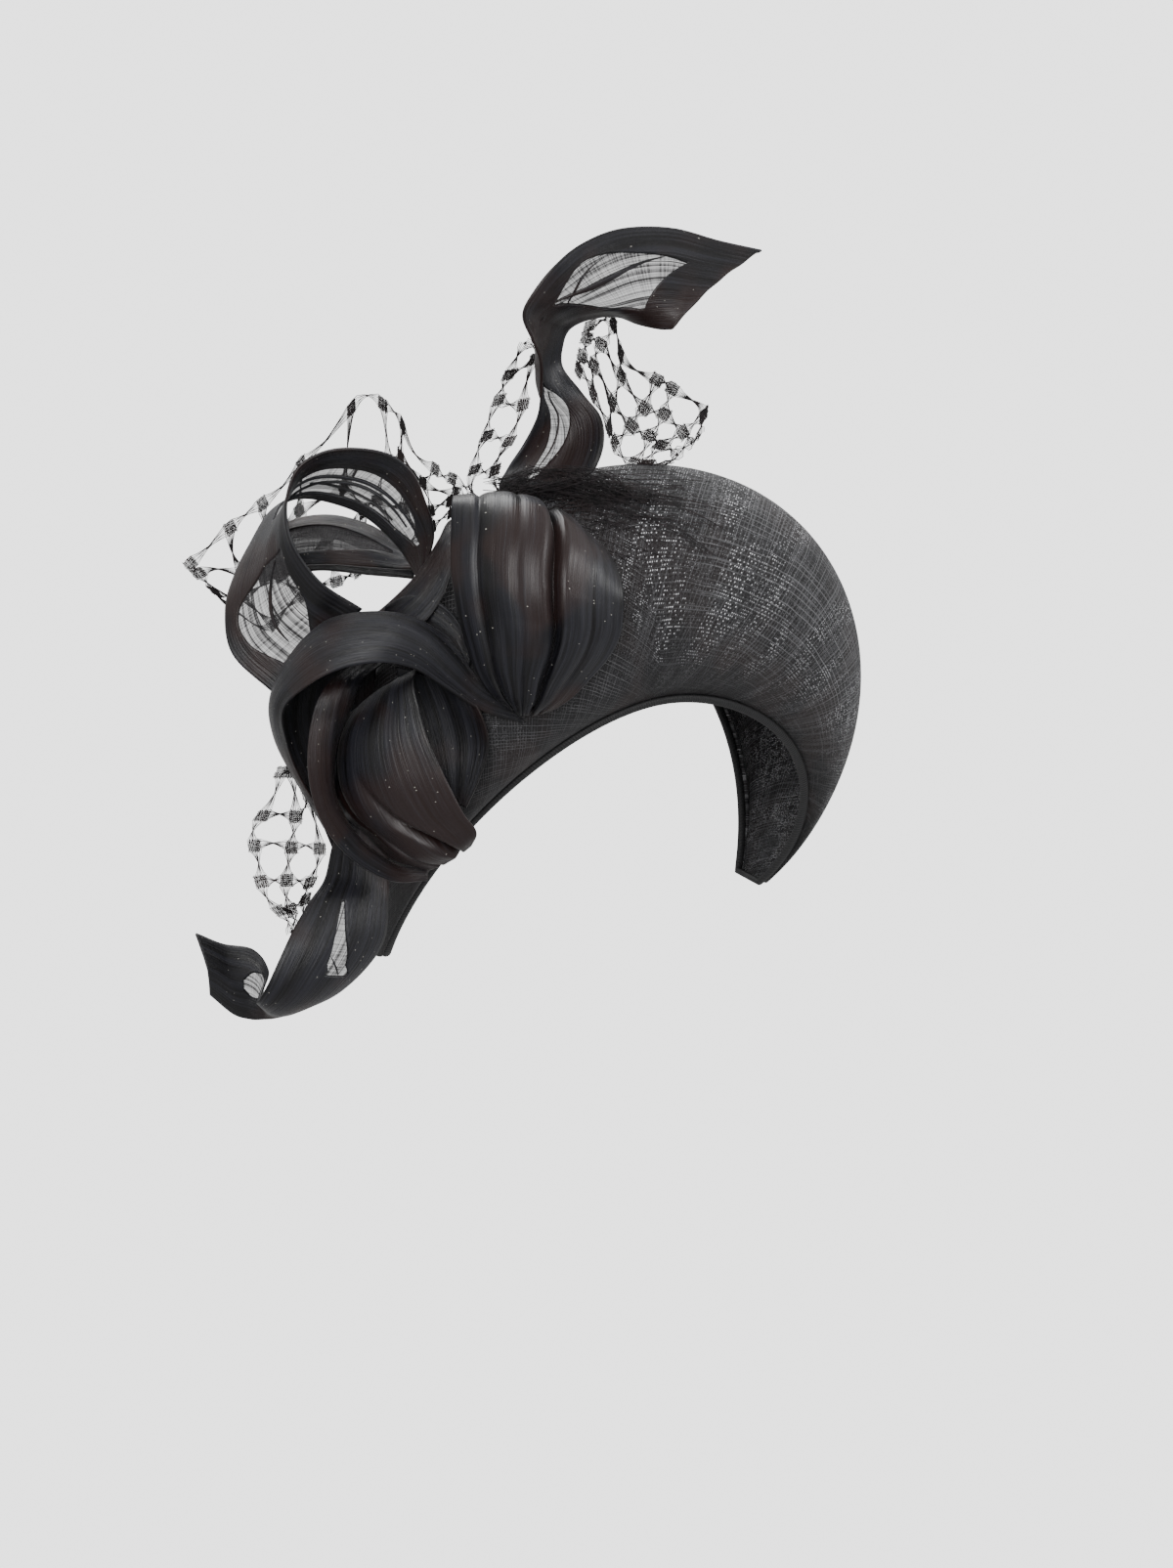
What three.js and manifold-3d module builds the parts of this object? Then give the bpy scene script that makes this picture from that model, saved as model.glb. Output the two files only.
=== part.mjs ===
// A halo fascinator: a blocked straw band worn ear to ear, with silk loops, curls and open net at one side.
// Millimetres, +Z up, the wearer looks along -Y and +X is the wearer's left. The origin is the crown of the
// head that the band sits on.
import * as THREE from "three";
import { mergeVertices } from "three/addons/utils/BufferGeometryUtils.js";
import Module from "manifold-3d";

// ---- the head that the band fits ----
const headHalfWidth = 76;
const headHalfLength = 99;
const headHalfHeight = 92;

// ---- the blocked band ----
const bandReach = THREE.MathUtils.degToRad(103); // from the crown down each side, to the end behind the ear
const frontEdgeAtCrown = -54; // y of the front edge at the top of the head
const frontEdgeAtEnd = 9;
const backEdgeAtCrown = 26;
const backEdgeAtEnd = 22;
const edgeLift = 3; // the wall starts this far above the head, on top of the binding
const rollLean = 0.22; // how far the roll leans forward for each millimetre that it rises
const crownHeight = 61; // how far the roll stands above the head at its crest
const crestTurn = THREE.MathUtils.degToRad(9); // the crest leans this far toward the wearer's left
const endHeight = 6;
const rollTurnUnder = THREE.MathUtils.degToRad(26); // how far the roll curls back in above each edge
const frontEdgeSweep = 2.6; // powers that say how late along an arm each edge and the height change
const backEdgeSweep = 2;
const heightFall = 1.2;
const bandWall = 2;
const bandSteps = 38;
const sectionSteps = 12;

// ---- the bias binding round the band's edge ----
const bindingThickness = 2.4;
const bindingSides = 6;
const bindingSteps = 32; // along each long edge
const bindingGap = 0.1; // left between the binding and the head

// ---- the trim: cloth pieces, sewn on at the wearer's right temple ----
const clothThickness = 1;
const sewingGap = 0.3; // left between pieces that touch
const ribbonWidth = 42;
const tableUnit = ribbonWidth / 45; // the ribbon tables are in 45ths of a ribbon's width
const netStrand = 0.07; // half the width of a pinched strand, in cells of the net
const netSquare = 0.2; // half the width of a woven square
const slopeStep = 1e-3; // the share of a table over which its slope is taken
const weldDistance = 1e-4;
// The trim has its own frame: x to the side, y up the face of the band and z straight out from it.
const trimPlace = new THREE.Vector3(-63, -27, 28);
const trimTurn = THREE.MathUtils.degToRad(-28);
const trimLean = THREE.MathUtils.degToRad(90 - 18);

const straw = new THREE.MeshStandardMaterial({ color: 0x1c1c1e, roughness: 0.55, metalness: 0 });
const silk = new THREE.MeshStandardMaterial({ color: 0x19161a, roughness: 0.5, metalness: 0 });
const net = new THREE.MeshStandardMaterial({ color: 0x201a1c, roughness: 0.6, metalness: 0 });
const bias = new THREE.MeshStandardMaterial({ color: 0x101013, roughness: 0.7, metalness: 0 });

const lerp = THREE.MathUtils.lerp;

/** A closed solid between an outer and an inner grid of points, both [row][column]. */
function solidBetween(outer, inner) {
  const rows = outer.length;
  const columns = outer[0].length;
  const position = [...outer.flat(), ...inner.flat()].flatMap((p) => [p.x, p.y, p.z]);
  const at = (side, i, j) => side * rows * columns + i * columns + j;
  const index = [];
  const quad = (a, b, c, d) => index.push(a, b, c, a, c, d);
  for (let i = 0; i + 1 < rows; i++) {
    for (let j = 0; j + 1 < columns; j++) {
      quad(at(0, i, j), at(0, i + 1, j), at(0, i + 1, j + 1), at(0, i, j + 1));
      quad(at(1, i, j), at(1, i, j + 1), at(1, i + 1, j + 1), at(1, i + 1, j));
    }
    quad(at(0, i, 0), at(1, i, 0), at(1, i + 1, 0), at(0, i + 1, 0));
    const last = columns - 1;
    quad(at(0, i, last), at(0, i + 1, last), at(1, i + 1, last), at(1, i, last));
  }
  for (let j = 0; j + 1 < columns; j++) {
    quad(at(0, 0, j), at(0, 0, j + 1), at(1, 0, j + 1), at(1, 0, j));
    const end = rows - 1;
    quad(at(0, end, j), at(1, end, j), at(1, end, j + 1), at(0, end, j + 1));
  }
  const geometry = new THREE.BufferGeometry();
  geometry.setAttribute("position", new THREE.Float32BufferAttribute(position, 3));
  geometry.setIndex(index);
  return geometry;
}

/** A point over the head: angle round from the crown, y along it, and height above the skin. */
function overHead(angle, y, height) {
  const narrowing = Math.sqrt(1 - (y / headHalfLength) ** 2);
  const skin = new THREE.Vector3(
    headHalfWidth * narrowing * Math.sin(angle),
    y,
    headHalfHeight * narrowing * Math.cos(angle) - headHalfHeight,
  );
  const out = new THREE.Vector3(
    Math.sin(angle) / headHalfWidth, 0, Math.cos(angle) / headHalfHeight,
  ).normalize();
  return skin.addScaledVector(out, height);
}

/** The band's edges and height at an angle round the head. */
function bandAt(angle) {
  const share = Math.abs(angle) / bandReach;
  const side = Math.sign(angle - crestTurn);
  const fall = Math.abs(angle - crestTurn) / (bandReach - side * crestTurn);
  return {
    front: lerp(frontEdgeAtCrown, frontEdgeAtEnd, share ** frontEdgeSweep),
    back: lerp(backEdgeAtCrown, backEdgeAtEnd, share ** backEdgeSweep),
    height: lerp(endHeight, crownHeight, (1 + Math.cos(Math.PI * fall ** heightFall)) / 2),
  };
}

/** A point on the roll: inset is how far inside its outer face, and turn goes from front edge to back. */
function bandPoint(angle, turn, inset) {
  const { front, back, height } = bandAt(angle);
  const halfWidth = (back - front) / 2 / Math.cos(rollTurnUnder);
  const rise = (height - edgeLift) / (1 + Math.sin(rollTurnUnder));
  const a = lerp(-rollTurnUnder, Math.PI + rollTurnUnder, turn);
  const h = edgeLift + rise * Math.sin(rollTurnUnder) + (rise - inset) * Math.sin(a);
  const y = (front + back) / 2 - (halfWidth - inset) * Math.cos(a) - rollLean * (h - edgeLift);
  return overHead(angle, y, h);
}

function bandGrid(inset) {
  return Array.from({ length: bandSteps + 1 }, (_, i) =>
    Array.from({ length: sectionSteps + 1 }, (_, j) =>
      bandPoint(lerp(-bandReach, bandReach, i / bandSteps), j / sectionSteps, inset)));
}

function band() {
  const mesh = new THREE.Mesh(solidBetween(bandGrid(0), bandGrid(bandWall)), straw);
  mesh.name = "straw_band";
  return mesh;
}

/** A bead of binding that follows both long edges of the band and turns round its two ends. */
function binding() {
  const run = (side, from, to) =>
    Array.from({ length: bindingSteps + 1 }, (_, i) => {
      const angle = lerp(from, to, i / bindingSteps);
      return overHead(angle, bandAt(angle)[side], bindingThickness / 2 + bindingGap);
    });
  const path = [...run("front", -bandReach, bandReach), ...run("back", bandReach, -bandReach)];
  const centre = new THREE.Vector3(0, 0, -headHalfHeight);
  const ring = path.map((p, i) => {
    const before = path[(i + path.length - 1) % path.length];
    const after = path[(i + 1) % path.length];
    const along = after.clone().sub(before).normalize();
    const out = p.clone().sub(centre).projectOnPlane(along).normalize();
    const aside = along.clone().cross(out);
    return Array.from({ length: bindingSides }, (_, k) => {
      const turn = (2 * Math.PI * (k + 0.5)) / bindingSides;
      const radius = bindingThickness / 2;
      return p.clone()
        .addScaledVector(out, radius * Math.sin(turn))
        .addScaledVector(aside, radius * Math.cos(turn));
    });
  });
  const index = [];
  const at = (i, k) => (i % ring.length) * bindingSides + (k % bindingSides);
  for (let i = 0; i < ring.length; i++) {
    for (let k = 0; k < bindingSides; k++) {
      index.push(at(i, k), at(i + 1, k), at(i + 1, k + 1), at(i, k), at(i + 1, k + 1), at(i, k + 1));
    }
  }
  const geometry = new THREE.BufferGeometry();
  const position = ring.flat().flatMap((p) => [p.x, p.y, p.z]);
  geometry.setAttribute("position", new THREE.Float32BufferAttribute(position, 3));
  geometry.setIndex(index);
  const mesh = new THREE.Mesh(geometry, bias);
  mesh.name = "edge_binding";
  return mesh;
}

// ---- ribbons ----
// A ribbon is a table of sections along its length. Each row gives its two hems as [x, y, z] in the trim's
// frame, and how far the cloth bellies out between them.

const roundLoop = [
  { left: [4, 20, 0], right: [40, 8, 10], belly: 3 },
  { left: [-1, 31, 0], right: [50, 14, 6], belly: 8 },
  { left: [-2, 30, 9], right: [56, 6, 10], belly: 13 },
  { left: [-2, 20, 15], right: [58, -2, 14], belly: 16 },
  { left: [-2, 6, 18], right: [58, -9, 14], belly: 17 },
  { left: [0, -8, 18], right: [57, -17, 13], belly: 16 },
  { left: [3, -20, 17], right: [53, -25, 13], belly: 14 },
  { left: [7, -31, 16], right: [46, -33, 14], belly: 11 },
  { left: [12, -38, 16], right: [39, -40, 15], belly: 7 },
  { left: [18, -42, 15], right: [31, -44, 15], belly: 3 },
  { left: [20, -38, 14], right: [30, -39, 14], belly: 1 },
];

const roseHood = [
  { left: [24, -43, 11], right: [23, -48, 10], belly: 0 },
  { left: [8, -33, 14], right: [9, -44, 13], belly: 1 },
  { left: [-1, -21, 16], right: [-4, -36, 17], belly: 3 },
  { left: [-13, -12, 16], right: [-15, -29, 23], belly: 5 },
  { left: [-28, -9, 13], right: [-26, -27, 27], belly: 6 },
  { left: [-46, -12, 8], right: [-39, -29, 27], belly: 6 },
  { left: [-58, -23, 2], right: [-50, -34, 25], belly: 5 },
  { left: [-64, -37, -3], right: [-60, -43, 20], belly: 4 },
  { left: [-65, -49, -8], right: [-60, -54, 14], belly: 3 },
  { left: [-59, -64, -11], right: [-56, -67, 7], belly: 2 },
  { left: [-49, -85, -14], right: [-45, -86, -2], belly: 1 },
];

const roseCup = [
  { left: [-38, -26, 4], right: [-26, -26, -8], belly: 0 },
  { left: [-47, -37, 17], right: [-34, -34, 8], belly: 2 },
  { left: [-51, -49, 19], right: [-39, -46, 7], belly: 3 },
  { left: [-52, -63, 19], right: [-44, -58, 5], belly: 4 },
  { left: [-50, -76, 17], right: [-45, -71, 2], belly: 4 },
  { left: [-45, -87, 14], right: [-41, -82, 0], belly: 4 },
  { left: [-36, -97, 10], right: [-35, -91, -2], belly: 4 },
  { left: [-23, -104, 6], right: [-23, -99, -4], belly: 3 },
  { left: [-11, -104, 1], right: [-12, -101, -7], belly: 2 },
];

const rosePetal = [
  { left: [-21, -36, -1], right: [-10, -26, 6], belly: 0 },
  { left: [-33, -41, -3], right: [-15, -32, 21], belly: 2 },
  { left: [-42, -48, -4], right: [-13, -43, 25], belly: 5 },
  { left: [-47, -58, -6], right: [-10, -53, 27], belly: 8 },
  { left: [-48, -69, -8], right: [-5, -64, 27], belly: 10 },
  { left: [-44, -79, -8], right: [-1, -72, 26], belly: 10 },
  { left: [-33, -85, -5], right: [3, -80, 24], belly: 9 },
  { left: [-21, -95, 4], right: [7, -86, 21], belly: 6 },
  { left: [-10, -100, 4], right: [5, -91, 15], belly: 2 },
];

const roseBack = [
  { left: [-22, -28, 8], right: [4, -37, 14], belly: -1 },
  { left: [-19, -40, 6], right: [9, -46, 14], belly: -2 },
  { left: [-15, -53, 6], right: [11, -56, 12], belly: -2 },
  { left: [-10, -66, 6], right: [8, -67, 10], belly: -1 },
  { left: [-4, -76, 5], right: [3, -78, 8], belly: 0 },
];

const roseWall = [
  { left: [-57, -36, -11], right: [-30, -28, -14], belly: 0 },
  { left: [-62, -49, -13], right: [-31, -44, -18], belly: -1 },
  { left: [-58, -64, -16], right: [-31, -60, -21], belly: -2 },
  { left: [-50, -80, -19], right: [-29, -76, -23], belly: -2 },
  { left: [-46, -94, -20], right: [-26, -92, -24], belly: -1 },
  { left: [-43, -102, -21], right: [-24, -101, -25], belly: 0 },
];

const rootWrap = [
  { left: [6, 26, -8], right: [8, 5, 5], belly: 0 },
  { left: [-3, 24, -4], right: [-1, 6, 6], belly: 1 },
  { left: [-7, 17, -3], right: [-5, -3, 7], belly: 2 },
  { left: [-13, 7, -3], right: [-10, -11, 8], belly: 3 },
  { left: [-19, 0, -4], right: [-17, -17, 7], belly: 3 },
  { left: [-28, -8, -6], right: [-25, -22, 4], belly: 2 },
  { left: [-37, -14, -10], right: [-34, -27, -1], belly: 1 },
];

const upperLoop = [
  { left: [-12, 8, -8], right: [-15, 3, -14], belly: 0 },
  { left: [-9, 19, -3], right: [-20, 12, -17], belly: 1 },
  { left: [-12, 31, 3], right: [-27, 20, -20], belly: 2 },
  { left: [-16, 40, 7], right: [-36, 27, -23], belly: 3 },
  { left: [-24, 46, 10], right: [-46, 31, -26], belly: 3 },
  { left: [-35, 48, 12], right: [-56, 33, -27], belly: 3 },
  { left: [-46, 47, 13], right: [-63, 32, -27], belly: 3 },
  { left: [-55, 42, 14], right: [-70, 27, -25], belly: 3 },
  { left: [-59, 34, 14], right: [-76, 16, -21], belly: 3 },
  { left: [-60, 24, 13], right: [-81, 5, -17], belly: 3 },
  { left: [-57, 13, 12], right: [-84, -8, -12], belly: 3 },
  { left: [-48, 1, 9], right: [-81, -24, -8], belly: 3 },
  { left: [-34, -8, 5], right: [-66, -38, -6], belly: 2 },
];

const sideLoop = [
  { left: [-14, 14, -19], right: [-16, 7, -16], belly: 0 },
  { left: [-22, 16, -27], right: [-23, 7, -20], belly: 1 },
  { left: [-33, 23, -33], right: [-35, 8, -24], belly: 2 },
  { left: [-47, 27, -36], right: [-49, 9, -27], belly: 2 },
  { left: [-60, 26, -37], right: [-62, 8, -29], belly: 2 },
  { left: [-69, 21, -40], right: [-71, 4, -34], belly: 2 },
  { left: [-73, 20, -48], right: [-74, 2, -43], belly: 2 },
  { left: [-68, 23, -57], right: [-69, 5, -54], belly: 2 },
  { left: [-52, 25, -60], right: [-54, 8, -57], belly: 2 },
  { left: [-34, 20, -52], right: [-35, 6, -49], belly: 1 },
  { left: [-18, 13, -38], right: [-18, 4, -36], belly: 0 },
];

const tallCurl = [
  { left: [17, 27, -14], right: [41, 34, -16], belly: 1 },
  { left: [14, 36, -10], right: [44, 40, -14], belly: 2 },
  { left: [17, 43, -14], right: [48, 43, -16], belly: 5 },
  { left: [23, 52, -15], right: [51, 52, -18], belly: 8 },
  { left: [28, 62, -12], right: [50, 62, -22], belly: 9 },
  { left: [29, 72, -6], right: [43, 71, -25], belly: 8 },
  { left: [29, 80, 2], right: [36, 80, -27], belly: 5 },
  { left: [26, 87, 8], right: [36, 88, -25], belly: 2 },
  { left: [23, 95, 12], right: [39, 94, -22], belly: 0 },
  { left: [27, 103, 14], right: [47, 97, -17], belly: -2 },
  { left: [34, 112, 13], right: [56, 97, -12], belly: -4 },
  { left: [43, 120, 9], right: [63, 94, -7], belly: -5 },
  { left: [57, 126, 4], right: [69, 92, -3], belly: -5 },
  { left: [75, 127, -2], right: [73, 91, 0], belly: -4 },
  { left: [92, 123, -6], right: [75, 91, 2], belly: -3 },
  { left: [107, 120, -8], right: [76, 92, 3], belly: -2 },
];

const lowCurl = [
  { left: [-38, -76, -14], right: [-24, -74, -12], belly: 1 },
  { left: [-45, -90, -11], right: [-26, -88, -15], belly: 2 },
  { left: [-48, -104, -4], right: [-26, -103, -15], belly: 3 },
  { left: [-53, -112, 3], right: [-26, -113, -13], belly: 4 },
  { left: [-58, -121, 8], right: [-27, -125, -11], belly: 5 },
  { left: [-62, -130, 11], right: [-33, -135, -9], belly: 5 },
  { left: [-67, -141, 11], right: [-44, -145, -8], belly: 4 },
  { left: [-71, -147, 5], right: [-57, -151, -9], belly: 3 },
  { left: [-71, -145, -7], right: [-66, -154, -14], belly: 2 },
  { left: [-69, -137, -16], right: [-71, -155, -18], belly: 3 },
  { left: [-75, -130, -19], right: [-76, -155, -19], belly: 4 },
  { left: [-86, -128, -18], right: [-82, -153, -18], belly: 5 },
  { left: [-95, -124, -14], right: [-90, -146, -16], belly: 5 },
];

// ---- open net ----
// The same kind of table as a ribbon's: the net's two long edges, section by section.

const netLeft = [
  { left: [-101, 10, -52], right: [-89, -4, -56], belly: 0 },
  { left: [-91, 20, -52], right: [-75, -14, -64], belly: -2 },
  { left: [-78, 29, -52], right: [-66, -4, -66], belly: -3 },
  { left: [-65, 42, -52], right: [-54, 2, -68], belly: -3 },
  { left: [-52, 55, -50], right: [-43, 6, -68], belly: -3 },
  { left: [-37, 70, -46], right: [-34, 13, -66], belly: -3 },
  { left: [-25, 64, -42], right: [-23, 18, -60], belly: -3 },
  { left: [-18, 52, -36], right: [-16, 21, -52], belly: -2 },
  { left: [-9, 43, -28], right: [-10, 24, -40], belly: -1 },
  { left: [0, 38, -20], right: [-3, 28, -26], belly: 0 },
  { left: [4, 35, -18], right: [2, 27, -20], belly: 0 },
];

const netLoop = [
  { left: [10, 29, -13], right: [17, 31, -16], belly: 0 },
  { left: [4, 37, -16], right: [12, 41, -20], belly: 0 },
  { left: [7, 49, -22], right: [16, 51, -24], belly: 0 },
  { left: [10, 58, -26], right: [21, 62, -27], belly: 0 },
  { left: [14, 70, -26], right: [23, 72, -27], belly: 0 },
  { left: [19, 81, -22], right: [26, 82, -24], belly: 0 },
  { left: [23, 88, -18], right: [29, 87, -22], belly: 0 },
];

const netTop = [
  { left: [46, 96, -36], right: [42, 80, -36], belly: 0 },
  { left: [54, 98, -38], right: [47, 72, -38], belly: 1 },
  { left: [58, 85, -38], right: [52, 62, -38], belly: 2 },
  { left: [68, 78, -36], right: [56, 52, -38], belly: 2 },
  { left: [78, 72, -34], right: [61, 47, -38], belly: 2 },
  { left: [87, 66, -32], right: [68, 46, -38], belly: 1 },
  { left: [86, 56, -32], right: [74, 46, -38], belly: 0 },
];

const netLow = [
  { left: [-64, -66, -14], right: [-58, -66, -14], belly: 0 },
  { left: [-68, -76, -13], right: [-54, -76, -15], belly: 0 },
  { left: [-73, -87, -12], right: [-51, -88, -17], belly: 1 },
  { left: [-73, -98, -10], right: [-51, -98, -16], belly: 2 },
  { left: [-69, -109, -8], right: [-54, -106, -12], belly: 1 },
  { left: [-63, -117, -8], right: [-56, -114, -13], belly: 0 },
  { left: [-60, -123, -8], right: [-57, -121, -10], belly: 0 },
];

/** A smooth line through one named column of a table, from 0 to 1 along its rows. */
function columnOf(rows, name) {
  const points = rows.map((row) => (
    name === "belly" ? new THREE.Vector3(row.belly, 0, 0) : new THREE.Vector3(...row[name])
  ).multiplyScalar(tableUnit));
  return new THREE.CatmullRomCurve3(points, false, "catmullrom");
}

/** The cloth surface through a table: a function from along and across, both 0 to 1, to a point. */
function clothThrough(rows) {
  const left = columnOf(rows, "left");
  const right = columnOf(rows, "right");
  const belly = columnOf(rows, "belly");
  return (along, across) => {
    const l = left.getPoint(along);
    const r = right.getPoint(along);
    const forward = left.getTangent(along).add(right.getTangent(along));
    const out = forward.cross(r.clone().sub(l)).normalize();
    return l.lerp(r, across).addScaledVector(out, belly.getPoint(along).x * Math.sin(Math.PI * across));
  };
}

/** A closed wall of cloth over a surface; grow makes it larger all round. */
function clothWall(surface, steps, columns, grow = 0) {
  const inside = (value) => THREE.MathUtils.clamp(value, slopeStep, 1 - slopeStep);
  const sides = [1, -1].map((side) =>
    Array.from({ length: steps + 1 }, (_, i) =>
      Array.from({ length: columns + 1 }, (_, j) => {
        const u = i / steps;
        const v = j / columns;
        const a = inside(u);
        const b = inside(v);
        const along = surface(a + slopeStep, b).sub(surface(a - slopeStep, b)).normalize();
        const across = surface(a, b + slopeStep).sub(surface(a, b - slopeStep)).normalize();
        const out = along.clone().cross(across).normalize();
        const ends = Number(u === 1) - Number(u === 0);
        const hems = Number(v === 1) - Number(v === 0);
        return surface(u, v)
          .addScaledVector(out, side * (clothThickness / 2 + grow))
          .addScaledVector(along, ends * grow)
          .addScaledVector(across, hems * grow);
      })));
  return solidBetween(...sides);
}

/** A closed sheet of net over a surface: woven squares joined by strands that pinch between them. */
function netWall(surface, cellsAlong, cellsAcross) {
  const cell = [[0, 0], [0.5, 0], [1, 0], [1, 0.5], [1, 1], [0.5, 1], [0, 1], [0, 0.5]];
  const near = netSquare;
  const far = 1 - netSquare;
  const gap = [[near, near], [0.5, netStrand], [far, near], [1 - netStrand, 0.5],
    [far, far], [0.5, 1 - netStrand], [near, far], [netStrand, 0.5]];
  const shareOf = (value, cells) => {
    const rim = value === 0 ? -netStrand : netStrand * Number(value === cells);
    const share = (value + rim + netStrand) / (cells + 2 * netStrand);
    return THREE.MathUtils.clamp(share, slopeStep, 1 - slopeStep);
  };
  const pointAt = ([x, y], side) => {
    const u = shareOf(x, cellsAlong);
    const v = shareOf(y, cellsAcross);
    const along = surface(u + slopeStep, v).sub(surface(u - slopeStep, v));
    const across = surface(u, v + slopeStep).sub(surface(u, v - slopeStep));
    const out = along.cross(across).normalize();
    return surface(u, v).addScaledVector(out, (side * clothThickness) / 2);
  };
  const position = [];
  const quad = (...corners) => {
    const [a, b, c, d] = corners.map(([place, side]) => pointAt(place, side));
    for (const p of [a, b, c, a, c, d]) position.push(p.x, p.y, p.z);
  };
  for (let i = 0; i < cellsAlong; i++) {
    for (let j = 0; j < cellsAcross; j++) {
      const placed = (corners) => corners.map(([x, y]) => [i + x, j + y]);
      const outer = placed(cell);
      const inner = placed(gap);
      outer.forEach((here, k) => {
        const next = outer[(k + 1) % outer.length];
        const inHere = inner[k];
        const inNext = inner[(k + 1) % inner.length];
        quad([here, 1], [next, 1], [inNext, 1], [inHere, 1]);
        quad([here, -1], [inHere, -1], [inNext, -1], [next, -1]);
        quad([inHere, 1], [inNext, 1], [inNext, -1], [inHere, -1]);
        const onRim = [0, cellsAlong].some((x) => here[0] === x && next[0] === x)
          || [0, cellsAcross].some((y) => here[1] === y && next[1] === y);
        if (onRim) quad([next, 1], [here, 1], [here, -1], [next, -1]);
      });
    }
  }
  const geometry = new THREE.BufferGeometry();
  geometry.setAttribute("position", new THREE.Float32BufferAttribute(position, 3));
  return geometry;
}

// ---- joins and cuts ----

const wasm = await Module();
wasm.setup();

function solidOf(geometry) {
  const bare = geometry.clone();
  bare.deleteAttribute("normal");
  bare.deleteAttribute("uv");
  const merged = mergeVertices(bare, weldDistance);
  return new wasm.Manifold(new wasm.Mesh({
    numProp: 3,
    vertProperties: new Float32Array(merged.attributes.position.array),
    triVerts: new Uint32Array(merged.index.array),
  }));
}

function geometryOf(solid) {
  const { vertProperties, triVerts, numProp } = solid.getMesh();
  const geometry = new THREE.BufferGeometry();
  const position = Array.from({ length: vertProperties.length / numProp }, (_, i) =>
    [...vertProperties.slice(i * numProp, i * numProp + 3)]).flat();
  geometry.setAttribute("position", new THREE.Float32BufferAttribute(position, 3));
  geometry.setIndex([...triVerts]);
  return geometry;
}

/** The largest body that is left of a solid once others are cut away. */
function cutBy(solid, others) {
  const left = others.reduce((rest, other) => rest.subtract(other), solid);
  return left.decompose().sort((a, b) => b.volume() - a.volume())[0];
}

// ---- the assembly ----

const ribbons = [
  { name: "round_loop", rows: roundLoop, steps: 15, columns: 11 },
  { name: "rose_petal", rows: rosePetal, steps: 12, columns: 8 },
  { name: "rose_hood", rows: roseHood, steps: 18, columns: 6 },
  { name: "rose_cup", rows: roseCup, steps: 12, columns: 5 },
  { name: "rose_back", rows: roseBack, steps: 8, columns: 5 },
  { name: "root_wrap", rows: rootWrap, steps: 8, columns: 5 },
  { name: "upper_loop", rows: upperLoop, steps: 22, columns: 5 },
  { name: "side_loop", rows: sideLoop, steps: 20, columns: 4 },
  { name: "tall_curl", rows: tallCurl, steps: 24, columns: 5 },
  { name: "low_curl", rows: lowCurl, steps: 24, columns: 5 },
  { name: "rose_wall", rows: roseWall, steps: 8, columns: 5 },
];

const nets = [
  { name: "net_left", rows: netLeft, cellsAlong: 9, cellsAcross: 3 },
  { name: "net_loop", rows: netLoop, cellsAlong: 5, cellsAcross: 1 },
  { name: "net_top", rows: netTop, cellsAlong: 6, cellsAcross: 3 },
  { name: "net_low", rows: netLow, cellsAlong: 5, cellsAcross: 2 },
];

function bandClearance() {
  return solidBetween(bandGrid(-sewingGap), bandGrid(bandWall + sewingGap));
}

/** The trim: each ribbon stays clear of the band and of the ribbons listed before it. */
function trim() {
  const group = new THREE.Group();
  group.position.copy(trimPlace);
  group.rotation.set(trimLean, 0, trimTurn, "ZYX");
  group.updateMatrix();
  const toTrim = group.matrix.clone().invert();
  const keepOff = [solidOf(bandClearance().applyMatrix4(toTrim))];
  for (const { name, rows, steps, columns } of ribbons) {
    const surface = clothThrough(rows);
    const solid = cutBy(solidOf(clothWall(surface, steps, columns)), keepOff);
    keepOff.push(solidOf(clothWall(surface, steps, columns, sewingGap)));
    const mesh = new THREE.Mesh(geometryOf(solid), silk);
    mesh.name = name;
    group.add(mesh);
  }
  for (const { name, rows, cellsAlong, cellsAcross } of nets) {
    const solid = cutBy(solidOf(netWall(clothThrough(rows), cellsAlong, cellsAcross)), keepOff);
    const mesh = new THREE.Mesh(geometryOf(solid), net);
    mesh.name = name;
    group.add(mesh);
  }
  return group;
}

const fascinator = new THREE.Group();
fascinator.add(band(), binding(), trim());
export default fascinator;
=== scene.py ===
import math
import random

import bpy
from mathutils import Matrix, Vector


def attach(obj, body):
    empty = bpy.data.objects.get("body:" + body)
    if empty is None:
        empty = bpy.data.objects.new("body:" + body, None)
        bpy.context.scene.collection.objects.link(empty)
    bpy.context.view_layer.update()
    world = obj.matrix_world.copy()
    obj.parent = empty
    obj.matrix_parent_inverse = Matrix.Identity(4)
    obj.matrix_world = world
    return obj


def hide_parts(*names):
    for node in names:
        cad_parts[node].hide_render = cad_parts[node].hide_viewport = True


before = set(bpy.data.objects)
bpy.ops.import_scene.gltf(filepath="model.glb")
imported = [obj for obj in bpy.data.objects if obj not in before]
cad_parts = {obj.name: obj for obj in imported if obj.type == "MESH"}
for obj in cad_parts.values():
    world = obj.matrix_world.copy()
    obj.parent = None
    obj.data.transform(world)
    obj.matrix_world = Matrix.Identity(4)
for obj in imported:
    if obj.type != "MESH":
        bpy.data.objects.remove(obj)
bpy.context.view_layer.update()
bpy.ops.object.select_all(action="DESELECT")
mm = 0.001
print("frame loaded")

camera = {
    "aim": (3.77, 9.43, -63.16),  # mm, inside the head, a little above its middle
    "azimuth": -27.7,  # degrees, from the wearer's front toward the right
    "elevation": 19.3,
    "distance": 1300,
    "lens": 84.03,
}


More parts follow.
